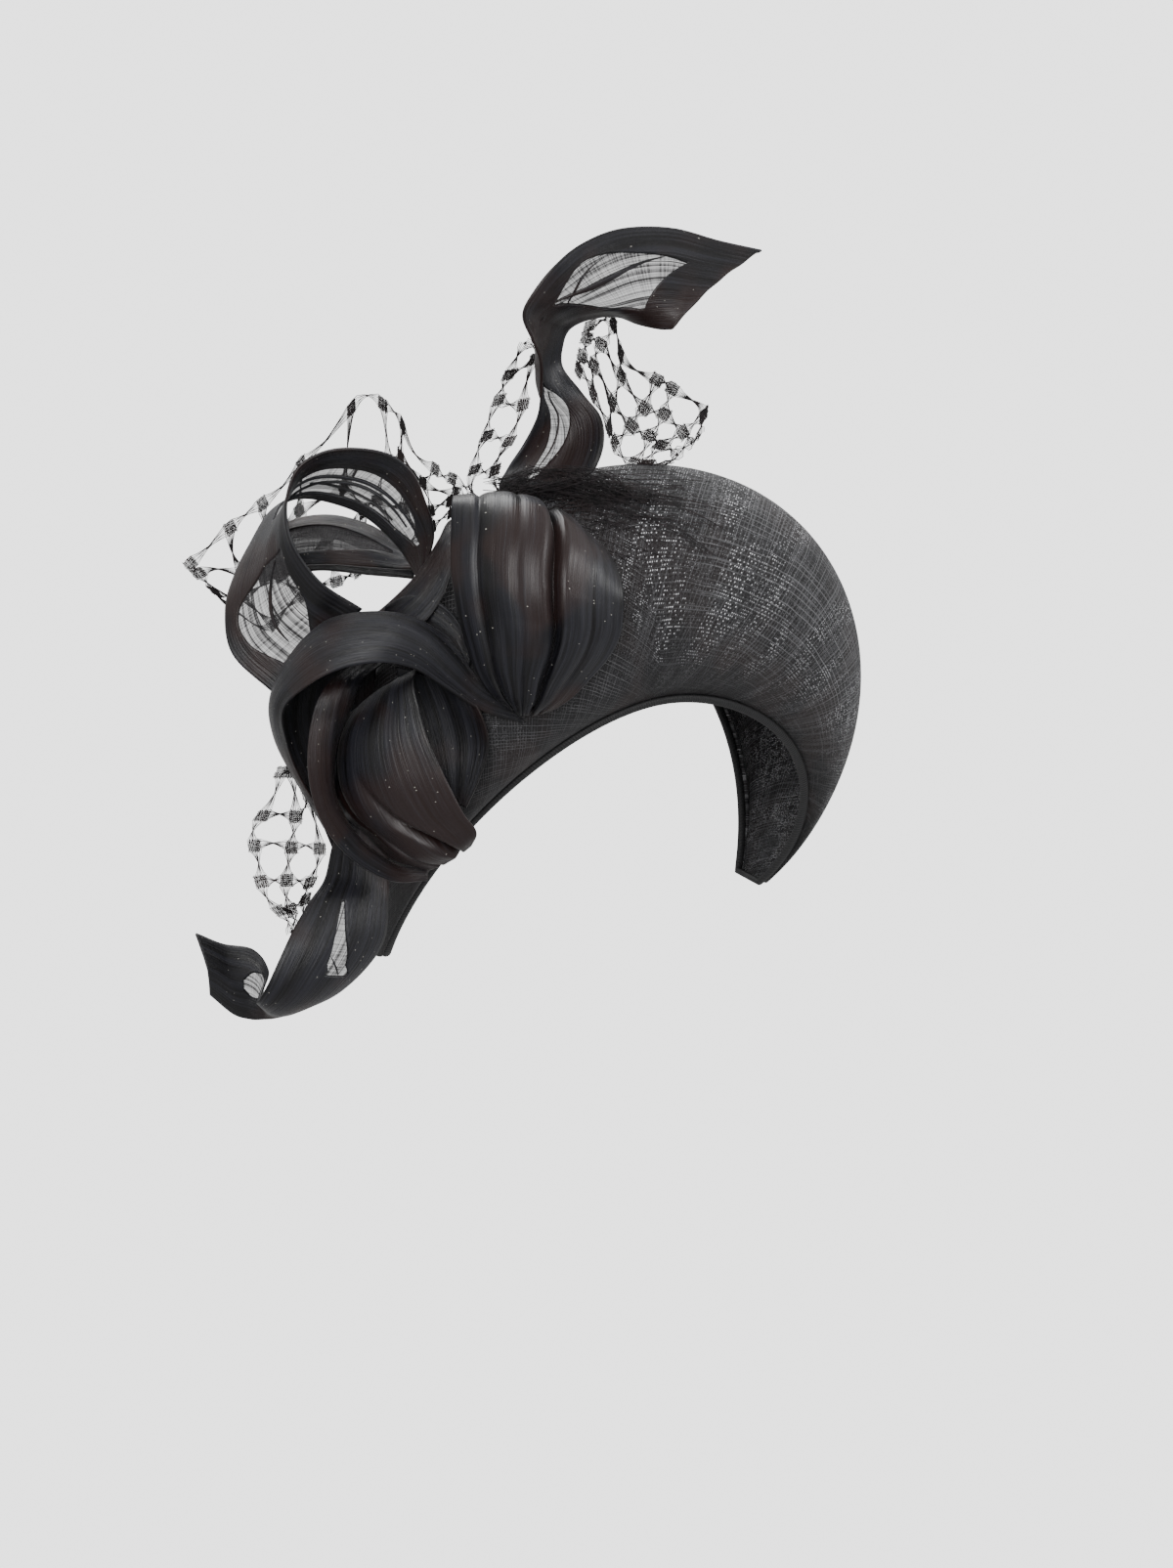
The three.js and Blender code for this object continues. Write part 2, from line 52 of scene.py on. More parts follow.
def makeCamera():
    azimuth = math.radians(camera["azimuth"])
    elevation = math.radians(camera["elevation"])
    back = Vector((
        math.sin(azimuth) * math.cos(elevation),
        -math.cos(azimuth) * math.cos(elevation),
        math.sin(elevation),
    ))
    place = (Vector(camera["aim"]) + back * camera["distance"]) * mm
    bpy.ops.object.camera_add(location=place, rotation=back.to_track_quat("Z", "Y").to_euler())
    made = bpy.context.object
    made.data.lens = camera["lens"]
    made.data.clip_start = 0.01
    bpy.context.scene.camera = made


makeCamera()
print("camera placed")


# shader sums are written as Python expressions on this
class Number:
    def __init__(self, tree, socket):
        self.tree = tree
        self.socket = socket

    def math(self, operation, *others, clamp=False):
        node = self.tree.nodes.new("ShaderNodeMath")
        node.operation = operation
        node.use_clamp = clamp
        for slot, value in enumerate((self, *others)):
            if isinstance(value, Number):
                self.tree.links.new(value.socket, node.inputs[slot])
            else:
                node.inputs[slot].default_value = value
        return Number(self.tree, node.outputs[0])

    def __add__(self, other):
        return self.math("ADD", other)

    __radd__ = __add__

    def __sub__(self, other):
        return self.math("SUBTRACT", other)

    def __rsub__(self, other):
        return self * -1 + other

    def __mul__(self, other):
        return self.math("MULTIPLY", other)

    __rmul__ = __mul__

    def __truediv__(self, other):
        return self.math("DIVIDE", other)

    def most(self, other):  # the greater of the two
        return self.math("MAXIMUM", other)

    def wave(self):  # from 0 to 1, once for each whole number
        return (self * math.tau).math("SINE") * 0.5 + 0.5

    def clamped(self):
        return self.math("ADD", 0.0, clamp=True)

    def rising(self, start, end):  # from 0 at the start, which may be the greater, to 1 at the end
        node = self.tree.nodes.new("ShaderNodeMapRange")
        node.interpolation_type = "SMOOTHSTEP"
        self.tree.links.new(self.socket, node.inputs["Value"])
        node.inputs["From Min"].default_value = start
        node.inputs["From Max"].default_value = end
        return Number(self.tree, node.outputs["Result"])


class Finish:
    def __init__(self, name):
        self.material = bpy.data.materials.new(name)
        self.material.use_nodes = True
        self.tree = self.material.node_tree
        self.tree.nodes.clear()

    def plug(self, target, value):
        if isinstance(value, Number):
            value = value.socket
        if isinstance(value, bpy.types.NodeSocket):
            self.tree.links.new(value, target)
        else:
            target.default_value = value

    def node(self, kind, settings=None, inputs=None):
        made = self.tree.nodes.new(kind)
        for key, value in (settings or {}).items():
            setattr(made, key, value)
        for key, value in (inputs or {}).items():
            self.plug(made.inputs[key], value)
        return made

    def number(self, socket):
        return Number(self.tree, socket)

    def surfacePlace(self):  # the piece's own map: across it and along it
        uv = self.node("ShaderNodeTexCoord").outputs["UV"]
        parts = self.node("ShaderNodeSeparateXYZ", inputs={"Vector": uv})
        return self.number(parts.outputs["X"]), self.number(parts.outputs["Y"])

    def vector(self, x, y, z=0.0):
        return self.node("ShaderNodeCombineXYZ", inputs={"X": x, "Y": y, "Z": z}).outputs["Vector"]

    def noise(self, vector, scale=1.0, detail=2.0):
        made = self.node("ShaderNodeTexNoise", inputs={"Vector": vector, "Scale": scale, "Detail": detail})
        return self.number(made.outputs[0])

    def cloud(self, cells):  # noise that doesn't follow the cloth, with so many cells in a metre
        return self.noise(self.node("ShaderNodeTexCoord").outputs["Object"], cells)

    def grain(self, x, y, cells, detail=2.0):  # noise drawn out one way, with cells as (in x, in y, seed)
        return self.noise(self.vector(x * cells[0], y * cells[1], cells[2]), detail=detail)

    def chance(self, x, y):  # one random number for each whole cell
        cell = self.vector(x.math("FLOOR"), y.math("FLOOR"))
        made = self.node("ShaderNodeTexWhiteNoise", {"noise_dimensions": "2D"}, {"Vector": cell})
        return self.number(made.outputs["Value"])

    def mix(self, share, low, high):
        made = self.node("ShaderNodeMix", {"data_type": "RGBA"})
        low, high = [(*each, 1.0) if isinstance(each, tuple) else each for each in (low, high)]
        for name, kind, value in (("Factor", "VALUE", share), ("A", "RGBA", low), ("B", "RGBA", high)):
            self.plug(next(s for s in made.inputs if s.name == name and s.type == kind), value)
        return next(s for s in made.outputs if s.type == "RGBA")

    def bump(self, height, distance, strength):
        inputs = {"Height": height, "Distance": distance, "Strength": strength}
        return self.node("ShaderNodeBump", inputs=inputs).outputs["Normal"]

    def surface(self, shader):
        self.node("ShaderNodeOutputMaterial", inputs={"Surface": shader})
        return self.material

    def finish(self, inputs):
        return self.surface(self.node("ShaderNodeBsdfPrincipled", inputs=inputs).outputs["BSDF"])


silk = {
    "dark": (0.0016, 0.0014, 0.0019),
    # grey-blue, partly the silk's own tone and partly painted satin sheen in broad bands
    "grey": (0.0096, 0.0098, 0.0140),
    "red": (0.0160, 0.0072, 0.0061),
    # lighter fibre streaks: partly the fibres' own tone, partly painted highlights along them
    "fibre": (0.021, 0.020, 0.024),
    # the colour of the painted glints, bright specks in the base colour
    "glint": (0.30, 0.29, 0.26),
    "roughness": 0.38,
    "specular": 0.31,
    "fibres": (120, 2.0, 0.0),  # cells over a ribbon's width and along as much of it, and a seed
    "strands": (42, 0.8, 7.0),
    "bands": (9, 0.5, 3.0),
    "clouds": 30.0,
    "glints": 130,  # places for a painted glint, over a ribbon's width
}


def silkFinish():
    made = Finish("silkAbaca")
    across, along = made.surfacePlace()  # both in ribbon widths
    fibre = made.grain(across, along, silk["fibres"], detail=3.0)
    strand = made.grain(across, along, silk["strands"])
    band = made.grain(across, along, silk["bands"])
    cloud = made.cloud(silk["clouds"])
    # broad lengthwise grey-blue bands: partly the silk's own tone, partly painted satin sheen
    colour = made.mix((band * 0.6 + strand * 0.4).rising(0.40, 0.62), silk["dark"], silk["grey"])
    colour = made.mix(cloud.rising(0.48, 0.60) * 0.75, colour, silk["red"])
    # lighter fibre streaks, partly the fibres' own tone and partly painted highlights along them
    colour = made.mix(fibre.rising(0.50, 0.72) * strand.rising(0.4, 0.6) * 0.7, colour, silk["fibre"])
    # painted glints: rare bright specks standing in for light caught by the fibres
    glint = made.chance(across * silk["glints"], along * silk["glints"]).rising(0.9990, 0.9994)
    colour = made.mix(glint, colour, silk["glint"])
    return made.finish({
        "Base Color": colour,
        "Roughness": (fibre - 0.5) * 0.35 + (band - 0.5) * 0.3 + silk["roughness"],
        "Specular IOR Level": silk["specular"],
        "Sheen Weight": 0.03,
        "Sheen Roughness": 0.4,
        "Normal": made.bump(fibre * 0.5 + strand * 0.6, 0.0004, 0.8),
    })


veil = {  # the single, sheer thickness between a ribbon's hems
    "cloth": (0.030, 0.028, 0.030),
    "strand": (0.006, 0.005, 0.006),
    "roughness": 0.5,
    "cover": 0.69,  # where it is thinnest
    "warps": (150, 1.0, 3.0),  # cells as for the silk
    "bunches": (26, 0.6, 9.0),
    "wefts": (1.5, 120, 5.0),
    "streaks": (22, 0.40, 1.0),
}


def veilFinish():
    made = Finish("silkVeil")
    across, along = made.surfacePlace()
    warp = made.grain(across, along, veil["warps"]).rising(0.42, 0.60)
    bunch = made.grain(across, along, veil["bunches"]).rising(0.46, 0.66)
    weft = made.grain(across, along, veil["wefts"]).rising(0.46, 0.62)
    streak = made.grain(across, along, veil["streaks"]).rising(0.58, 0.66)
    cover = warp * 0.16 + bunch * 0.16 + weft * 0.12 + veil["cover"]
    return made.finish({
        "Base Color": made.mix(streak.most(bunch * 0.6), veil["cloth"], veil["strand"]),
        "Roughness": veil["roughness"],
        "Specular IOR Level": silk["specular"],
        "Alpha": cover.most(streak * 0.97).clamped(),
        "Normal": made.bump(warp + weft * 0.5, 0.0003, 0.6),
    })


straw = {
    "pitch": 1.15,  # mm between threads
    "openPitch": 2.1,  # between the threads that show most
    "gap": (0.0010, 0.0009, 0.0013),
    "thread": (0.0095, 0.0090, 0.0105),
    # pale threads, partly their own tone and partly painted sheen on them
    "pale": (0.088, 0.088, 0.094),
    "warm": (0.020, 0.012, 0.011),
    "open": (0.20, 0.20, 0.208),
    # the colour of the painted glints
    "glint": (0.80, 0.80, 0.83),
    "skew": 0.95,  # how far the weave leans off the shortest way over the band, at the crown
    "unskew": 1 / 330,  # less of it for each mm toward the wearer's left
    "slope": 0.12,  # how fast the cross threads climb toward the wearer's right
    "turn": -10,  # mm from the crown; from there rightward they climb faster
    "turnSlope": 0.75,
    "drift": 4.0,  # mm that a thread wanders
    "driftCells": 0.03,  # in a mm
    "loose": (8, 42),  # mm from the front edge, over which the imported weave opens up, with more pale threads, painted sheen and painted glints
    "leftward": (-60, 130),  # mm from the crown, over which the pale threads and their painted sheen come out, toward the wearer's left
    "rightward": (-10, -40),  # and over which the weave turns into a plain open one
    "layers": ((0, 1.0, 0.0), (38, 1.25, 11.0)),  # degrees, share of the pitch, seed
}


def strawFinish():
    made = Finish("sinamayStraw")
    x, y = made.surfacePlace()  # in mm, from the crown and from the front edge
    wander = straw["driftCells"]
    drift = (made.grain(x, y, (wander, wander, 0.0)) - 0.5) * straw["drift"]
    leaning = x - y * (straw["skew"] - x * straw["unskew"]) + drift
    steeper = (x - straw["turn"]).math("MINIMUM", 0) * straw["turnSlope"]
    level = y + x * straw["slope"] + steeper - drift

    def layer(degrees, share, seed):  # how high one layer of the weave is, and how pale its threads are with their painted sheen
        turn = math.radians(degrees)
        pitch = straw["pitch"] * share
        s = (leaning * math.cos(turn) + level * math.sin(turn)) / pitch
        t = (level * math.cos(turn) - leaning * math.sin(turn)) / pitch
        warp, weft = s.wave(), t.wave()
        over = ((s * math.pi).math("SINE") * (t * math.pi).math("SINE")).rising(-0.3, 0.3)
        warpPale = made.grain(s, t, (0.8, 0.025, seed)).rising(0.42, 0.66)
        weftPale = made.grain(s, t, (0.025, 0.8, seed + 4)).rising(0.46, 0.70)
        rise = (warp * (over * 0.5 + 0.5)).most(weft * (1 - over * 0.5))
        return rise, (warp * warpPale).most(weft * weftPale * 0.8)

    (topRise, topShine), (lowRise, lowShine) = [layer(*each) for each in straw["layers"]]
    height = topRise.most(lowRise * 0.7)
    # where the threads' pale tone and painted sheen go
    lit = topShine.most(lowShine * 0.6)
    s, t = leaning / straw["pitch"], level / straw["pitch"]
    hole = ((1 - s.wave()) * (1 - t.wave())).rising(0.50, 0.80)  # the holes of the upper layer, where painted glints may show
    hole = hole * made.chance(s - 0.25, t - 0.25).rising(0.50, 0.72)
    patch = made.grain(leaning, level, (0.060, 0.024, 2.0)).rising(0.41, 0.61)
    loose = y.rising(*straw["loose"])
    leftward = x.rising(*straw["leftward"])
    rightward = x.rising(*straw["rightward"])
    # painted glints: bright specks in some holes, in patches, fewer near the front edge and on the
    # wearer's right
    glint = hole * (patch * 0.9 + 0.1) * (loose * 0.85 + 0.15) * (1 - rightward * 0.8)
    colour = made.mix(height.rising(0.35, 0.85), straw["gap"], straw["thread"])
    warm = made.grain(x, y, (wander, wander, 5.0)).rising(0.46, 0.62)
    colour = made.mix(warm * (1 - loose * 0.5) * 0.6, colour, straw["warm"])
    # pale threads with painted sheen on them: stronger toward the wearer's left and away from the front
    # edge, weaker on the wearer's right
    paleAndSheen = (loose * 0.20 + leftward * 0.40 + 0.32).clamped() * (1 - rightward * 0.8)
    colour = made.mix(lit.rising(0.25, 0.85) * paleAndSheen, colour, straw["pale"])

    def openThread(along, beside, seed):
        line = (along / straw["openPitch"]).wave().rising(0.84, 0.98)
        return line * made.grain(along, beside, (0.5, 0.02, seed)).rising(0.38, 0.60)

    coarse = openThread(leaning, level, 21.0).most(openThread(level, leaning, 25.0))
    shown = leftward * loose * 0.66 + rightward * 0.30 + 0.06
    colour = made.mix(coarse * shown, colour, straw["open"])
    colour = made.mix(glint, colour, straw["glint"])
    return made.finish({
        "Base Color": colour,
        "Roughness": 0.55 - glint * 0.3,
        "Specular IOR Level": 0.3,
        "Normal": made.bump(height * (1 - rightward * 0.8) + coarse * 0.6, 0.0006, 0.9),
    })


bias = {"dark": (0.0015, 0.0015, 0.002), "light": (0.007, 0.007, 0.008), "clouds": 900.0}


def bindingFinish():
    made = Finish("biasBinding")
    across, along = made.surfacePlace()
    rib = (along * 0.7 + across * 2.0).wave()
    grain = made.cloud(bias["clouds"])
    return made.finish({
        "Base Color": made.mix(rib * 0.5 + grain * 0.5, bias["dark"], bias["light"]),
        "Roughness": grain * 0.2 + 0.6,
        "Normal": made.bump(rib + grain, 0.0002, 0.6),
    })


abaca = {
    "dark": (0.003, 0.0022, 0.0026),
    "light": (0.016, 0.012, 0.013),
    "red": (0.022, 0.012, 0.011),
    "grains": 380.0,
    "patches": 55.0,
}


def netFinish():
    made = Finish("abacaNet")
    grain = made.cloud(abaca["grains"])
    patch = made.cloud(abaca["patches"])
    colour = made.mix(grain.rising(0.3, 0.7), abaca["dark"], abaca["light"])
    return made.finish({
        "Base Color": made.mix(patch.rising(0.50, 0.68) * 0.5, colour, abaca["red"]),
        "Roughness": grain * 0.2 + 0.5,
        "Specular IOR Level": 0.25,
        "Normal": made.bump(grain, 0.0001, 0.5),
    })


finishes = {
    "silk": silkFinish(),
    "veil": veilFinish(),
    "straw": strawFinish(),
    "binding": bindingFinish(),
    "net": netFinish(),
}
print("finishes made")

head = {"halfWidth": 76, "halfLength": 99, "halfHeight": 92}  # mm, with its top at the origin
band = {
    "reach": math.radians(103),  # from the crown down each side
    "frontAtCrown": -54,  # y of the front edge
    "frontAtEnd": 9,
    "frontSweep": 2.6,  # the greater, the longer the edge stays as it is at the crown
    "backAtCrown": 26,
    "backAtEnd": 22,
    "backSweep": 2,
    "lift": 3,  # of both edges off the head
    "lean": 0.22,  # forward, for each mm of height
    "crownHeight": 61,
    "endHeight": 6,
    "fall": 1.2,
    "crestTurn": math.radians(9),  # of the highest place toward the wearer's left
    "turnUnder": math.radians(26),  # how far the section goes on round past its widest
    "wall": 1.6,
    "steps": 240,
    "section": 84,
    "crestRadius": 136,  # mm round the crest for each radian, where the weave is at its own scale
    "sectionLength": 165,
}


def lerp(a, b, share):
    return a + (b - a) * share


def overHead(angle, y, height):
    narrowing = math.sqrt(1 - (y / head["halfLength"]) ** 2)
    skin = Vector((
        head["halfWidth"] * narrowing * math.sin(angle),
        y,
        head["halfHeight"] * narrowing * math.cos(angle) - head["halfHeight"],
    ))
    out = Vector((math.sin(angle) / head["halfWidth"], 0, math.cos(angle) / head["halfHeight"]))
    return skin + out.normalized() * height


def bandAt(angle):
    share = abs(angle) / band["reach"]
    side = math.copysign(1, angle - band["crestTurn"])
    fall = abs(angle - band["crestTurn"]) / (band["reach"] - side * band["crestTurn"])
    front = lerp(band["frontAtCrown"], band["frontAtEnd"], share ** band["frontSweep"])
    back = lerp(band["backAtCrown"], band["backAtEnd"], share ** band["backSweep"])
    rise = (1 + math.cos(math.pi * fall ** band["fall"])) / 2
    return front, back, lerp(band["endHeight"], band["crownHeight"], rise)


def bandPoint(angle, turn, inset=0.0):
    front, back, height = bandAt(angle)
    under = band["turnUnder"]
    halfWidth = (back - front) / 2 / math.cos(under)
    rise = (height - band["lift"]) / (1 + math.sin(under))
    a = lerp(-under, math.pi + under, turn)
    h = band["lift"] + rise * math.sin(under) + (rise - inset) * math.sin(a)
    y = (front + back) / 2 - (halfWidth - inset) * math.cos(a) - band["lean"] * (h - band["lift"])
    return overHead(angle, y, h)


def addGrid(name, columns, rows):
    bpy.ops.object.select_all(action="DESELECT")
    bpy.ops.mesh.primitive_grid_add(x_subdivisions=columns, y_subdivisions=rows, size=1)
    piece = bpy.context.object
    piece.name = name
    piece.data.name = name
    return piece


# takes away the faces of a fresh grid whose middle passes the test of across and along
def cutFaces(piece, test):
    bpy.ops.object.mode_set(mode="EDIT")
    bpy.ops.mesh.select_all(action="DESELECT")
    bpy.ops.mesh.select_mode(type="FACE")
    bpy.ops.object.mode_set(mode="OBJECT")
    for face in piece.data.polygons:
        face.select = test(face.center.x + 0.5, face.center.y + 0.5)
    bpy.ops.object.mode_set(mode="EDIT")
    bpy.ops.mesh.delete(type="FACE")
    bpy.ops.object.mode_set(mode="OBJECT")


# lays a fresh grid on a surface; all three functions take across and along, from 0 to 1
def shapeGrid(piece, pointAt, uvAt, bend=lambda *share: share):
    mesh = piece.data
    shares = [bend(v.co.x + 0.5, v.co.y + 0.5) for v in mesh.vertices]
    uv = mesh.uv_layers.active.data
    for loop in mesh.loops:
        uv[loop.index].uv = uvAt(*shares[loop.vertex_index])
    for vertex, share in zip(mesh.vertices, shares):
        vertex.co = pointAt(*share) * mm
    mesh.update()


def choose(piece):
    bpy.ops.object.select_all(action="DESELECT")
    piece.select_set(True)
    bpy.context.view_layer.objects.active = piece


def thicken(piece, thickness, offset=0.0):
    choose(piece)
    modifier = piece.modifiers.new("Thickness", "SOLIDIFY")
    modifier.thickness = thickness * mm
    modifier.offset = offset
    bpy.ops.object.modifier_apply(modifier=modifier.name)


def settle(piece, finish, slot, *nodes):
    choose(piece)
    bpy.ops.object.shade_smooth()
    piece.data.materials.clear()
    piece.data.materials.append(finish)
    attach(piece, "root")
    if nodes:
        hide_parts(*nodes)


def makeBand():
    piece = addGrid("strawBand", band["section"], band["steps"])
    shapeGrid(
        piece,
        lambda across, along: bandPoint(lerp(-band["reach"], band["reach"], along), 1 - across),
        lambda across, along: (
            (along * 2 - 1) * band["reach"] * band["crestRadius"],
            (1 - across) * band["sectionLength"],
        ),
    )
    thicken(piece, band["wall"], offset=-1.0)
    settle(piece, finishes["straw"], "sinamay_straw", "straw_band")


makeBand()
print("band made")

binding = {
    "middle": 1.75,  # mm over the head
    "rise": 1.65,
    "halfWidth": 1.2,
    "sides": 12,
    "steps": 110,
    "mapLength": 760,  # for the rib's scale
    "join": 0.02,  # mm, within which points are merged
}


def makeBinding():
    edge = []
    for side, start in ((0, -1), (1, 1)):  # forward along the front edge, then back along the other
        for i in range(binding["steps"] + 1):
            angle = start * band["reach"] * (1 - 2 * i / binding["steps"])
            edge.append(overHead(angle, bandAt(angle)[side], binding["middle"]))
    centre = Vector((0, 0, -head["halfHeight"]))
    count = len(edge)

    def pointAt(across, along):
        i = round(along * count) % count
        run = (edge[(i + 1) % count] - edge[i - 1]).normalized()
        out = edge[i] - centre
        out = (out - run * out.dot(run)).normalized()
        turn = across * math.tau
        aside = run.cross(out) * binding["halfWidth"] * math.cos(turn)
        return edge[i] + out * binding["rise"] * math.sin(turn) + aside

    piece = addGrid("edgeBinding", binding["sides"], count)
    shapeGrid(piece, pointAt, lambda across, along: (across, along * binding["mapLength"]))
    bpy.ops.object.mode_set(mode="EDIT")
    bpy.ops.mesh.select_all(action="SELECT")
    bpy.ops.mesh.remove_doubles(threshold=binding["join"] * mm)
    bpy.ops.mesh.normals_make_consistent(inside=False)
    bpy.ops.object.mode_set(mode="OBJECT")
    settle(piece, finishes["binding"], "bias_binding", "edge_binding")


makeBinding()
print("binding made")

# The trim has its own frame: x to the side, y up the face of the band, z straight out from it.
# The rows of a ribbon are sections along its length: a place on either hem in that frame, in 45ths of a
# ribbon's width, and how far the cloth bellies out between them.
trim = {"place": (-63, -27, 28), "turn": -28, "lean": 90 - 18, "ribbonWidth": 42, "tableWidth": 45}
tableUnit = trim["ribbonWidth"] / trim["tableWidth"]
toBand = (
    Matrix.Translation(trim["place"])
    @ Matrix.Rotation(math.radians(trim["turn"]), 4, "Z")
    @ Matrix.Rotation(math.radians(trim["lean"]), 4, "X")
)
cloth = {
    "thickness": 0.6,  # mm
    "hem": 0.9,  # where it is turned in double
    "fold": 0.8,
    "foldGrid": (4, 60),
    "waves": 6,
    "waveAcross": (6, 28),  # radians over the ribbon's width
    "waveAlong": (-7, 7),  # and along as much of it
    "waveSize": (0.3, 1.0),  # shares of the ripple
}


# a uniform Catmull-Rom line through the values
def splineAt(values, share):
    last = len(values) - 1
    i = min(int(share * last), last - 1)
    t = share * last - i
    b, c = values[i], values[i + 1]
    a = values[i - 1] if i > 0 else b * 2 - c
    d = values[i + 2] if i + 2 <= last else c * 2 - b
    startSlope = (c - a) * 0.5
    endSlope = (d - b) * 0.5
    return (
        b
        + startSlope * t
        + (c * 3 - b * 3 - startSlope * 2 - endSlope) * t * t
        + (b * 2 - c * 2 + startSlope + endSlope) * t * t * t
    )


def clothThrough(rows):
    left = [Vector(place) * tableUnit for place, _, _ in rows]
    right = [Vector(place) * tableUnit for _, place, _ in rows]
    belly = [size * tableUnit for _, _, size in rows]
    step = 1e-3

    def at(across, along, lift=0.0):
        l, r = splineAt(left, along), splineAt(right, along)
        low, high = max(along - step, 0), min(along + step, 1)
        forward = (splineAt(left, high) - splineAt(left, low)).normalized()
        forward += (splineAt(right, high) - splineAt(right, low)).normalized()
        out = forward.cross(r - l).normalized()
        rise = splineAt(belly, along) * math.sin(math.pi * across) + lift
        return toBand @ (l.lerp(r, across) + out * rise)

    return at


def lengthOf(at, parts=120):
    points = [at(0.5, i / parts) for i in range(parts + 1)]
    return sum((b - a).length for a, b in zip(points, points[1:]))


# soft lengthwise waves in a cloth, the same ones each time for the same name
def wavesFor(name):
    draw = random.Random(name)
    ranges = (cloth["waveAcross"], cloth["waveAlong"], (0, math.tau), cloth["waveSize"])
    waves = [[draw.uniform(*ends) for ends in ranges] for _ in range(cloth["waves"])]
    return lambda across, along: sum(
        math.sin(across * a + along * b + start) * size for a, b, start, size in waves
    ) / len(waves)


def creaseDepth(creases, across, along):
    depth = 0.0
    for crease in creases:
        away = abs(across - lerp(crease["from"], crease["to"], along)) / crease["width"]
        start = crease.get("start")  # where one that deepens to the ribbon's end begins
        grown = 1.0 if start is None else max(0.0, (along - start) / (1 - start))
        depth += crease["depth"] * grown * max(0.0, 1 - away) ** 2
    return depth


# A ribbon's sheer windows are lists of stops along it: the shares across it between which it is
# sheer, and how far the line of stops leans, as a share of its length, from one hem to the other.
# A single stop opens no window and only leads the grid on from the one before it.
windowColumns = (0.3, 0.7)  # of the hems' own grid, which is bent so that these follow the window
narrowest = 0.005  # share of the width, so that the grid never folds over


def stopAt(stops, along):
    along = min(max(along, stops[0]["along"]), stops[-1]["along"])
    keys = ("low", "high", "lean")
    for i, (a, b) in enumerate(zip(stops, stops[1:])):
        if along <= b["along"]:
            share = (along - a["along"]) / (b["along"] - a["along"])
            place = (i + share) / (len(stops) - 1)
            return [splineAt([stop.get(key, 0) for stop in stops], place) for key in keys]


def bendToWindows(stops, across, along):
    low, high, lean = stopAt(stops, along)
    high = max(high, low + narrowest)
    start, end = windowColumns
    if across < start:
        bent = low * across / start
    elif across < end:
        bent = lerp(low, high, (across - start) / (end - start))
    else:
        bent = lerp(high, 1, (across - end) / (1 - end))
    return bent, min(along - lean * (bent - 0.5), 1)


def makeHems(name, spec, pointAt, uvAt):
    stops = [stop for window in spec["windows"] for stop in window]
    hems = addGrid(name + "Hems", *spec["grid"])
    cutFaces(hems, lambda across, along: (
        windowColumns[0] < across < windowColumns[1]
        and any(window[0]["along"] < along < window[-1]["along"] for window in spec["windows"])
    ))
    shapeGrid(hems, pointAt, uvAt, lambda across, along: bendToWindows(stops, across, along))
    thicken(hems, cloth["hem"])
    settle(hems, finishes["silk"], "silk_abaca")
    return hems


# a narrow gather of the sheer cloth, which lies on it as a dark strip
def makeFold(name, fold, pointAt, uvAt):
    def bend(across, along):
        taper = math.sin(math.pi * lerp(0.02, 0.98, along))
        middle = lerp(*fold["across"], along) + fold["bow"] * math.sin(math.pi * along)
        return middle + (across - 0.5) * fold["width"] * taper, lerp(*fold["along"], along)

    piece = addGrid(name, *cloth["foldGrid"])
    shapeGrid(piece, pointAt, uvAt, bend)
    thicken(piece, cloth["fold"])
    settle(piece, finishes["silk"], "silk_abaca")
    return piece


# a cloth's surface with its waves and creases, its map in ribbon widths, and its length in mm
def layCloth(name, spec):
    at = clothThrough(spec["rows"])
    length = lengthOf(at)
    wave = wavesFor(name)
    creases = spec.get("creases", [])

    def uvAt(across, along):
        return across, along * length / trim["ribbonWidth"]

    def pointAt(across, along):
        lift = wave(*uvAt(across, along)) * spec["ripple"]
        return at(across, along, lift - creaseDepth(creases, across, along))

    return pointAt, uvAt, length


def makeRibbon(name, node, spec, withPieces=()):
    pointAt, uvAt, length = layCloth(name, spec)
    piece = addGrid(name, *spec["grid"])
    shapeGrid(piece, pointAt, uvAt)
    area = sum(face.area for face in piece.data.polygons)
    pieces = list(withPieces)
    if "windows" in spec:  # turned in double all round its windows
        pieces.append(makeHems(name, spec, pointAt, uvAt))
        for number, fold in enumerate(spec.get("folds", [])):
            pieces.append(makeFold(name + "Fold" + str(number), fold, pointAt, uvAt))
        settle(piece, finishes["veil"], "silk_abaca", node)
    else:
        thicken(piece, cloth["thickness"])
        settle(piece, finishes["silk"], "silk_abaca", node)
    width = area / (length * mm)
    length * mm
    print(name, "flat", round(width / mm, 1), "by", round(length, 1), "mm")


# a small folded scrap of the cloth, sewn down with a ribbon
def makeLeaf(name, spec):
    pointAt, uvAt, length = layCloth(name, spec)
    piece = addGrid(name, *spec["grid"])
    shapeGrid(piece, pointAt, uvAt)
    thicken(piece, cloth["thickness"])
    settle(piece, finishes["silk"], "silk_abaca")
    print(name, "is", round(length, 1), "mm long")
    return piece


net = {
    "threads": 7,  # in a bundle
    "thread": 0.24,  # mm thick
    "square": 2.0,  # half the width of a woven square
    "squareShare": 0.28,  # of the way to the next one, at most
    "pinch": 0.20,  # half the width of a bundle midway between two squares
    "gather": 0.6,  # the smaller, the sooner a bundle narrows after a square
    "fillers": 11,  # short threads more in each square, each way
    "fillerRoom": (0.56, 0.4),  # share of half the way to the next square, and mm more
    "fillerReach": (0.9, 1.25),  # shares of that room
    "jitter": 0.30,  # of a square off its place, as a share of the way to the next
    "bow": 0.10,  # of a bundle, as a share of its length
    "stray": 0.22,  # mm that a thread is off its bundle
    "aside": 0.6,  # share of a thread's stray that goes sideways
    "sizes": (0.7, 1.3),  # shares of a thread's thickness
    "steps": 12,  # points from one square to the next
}


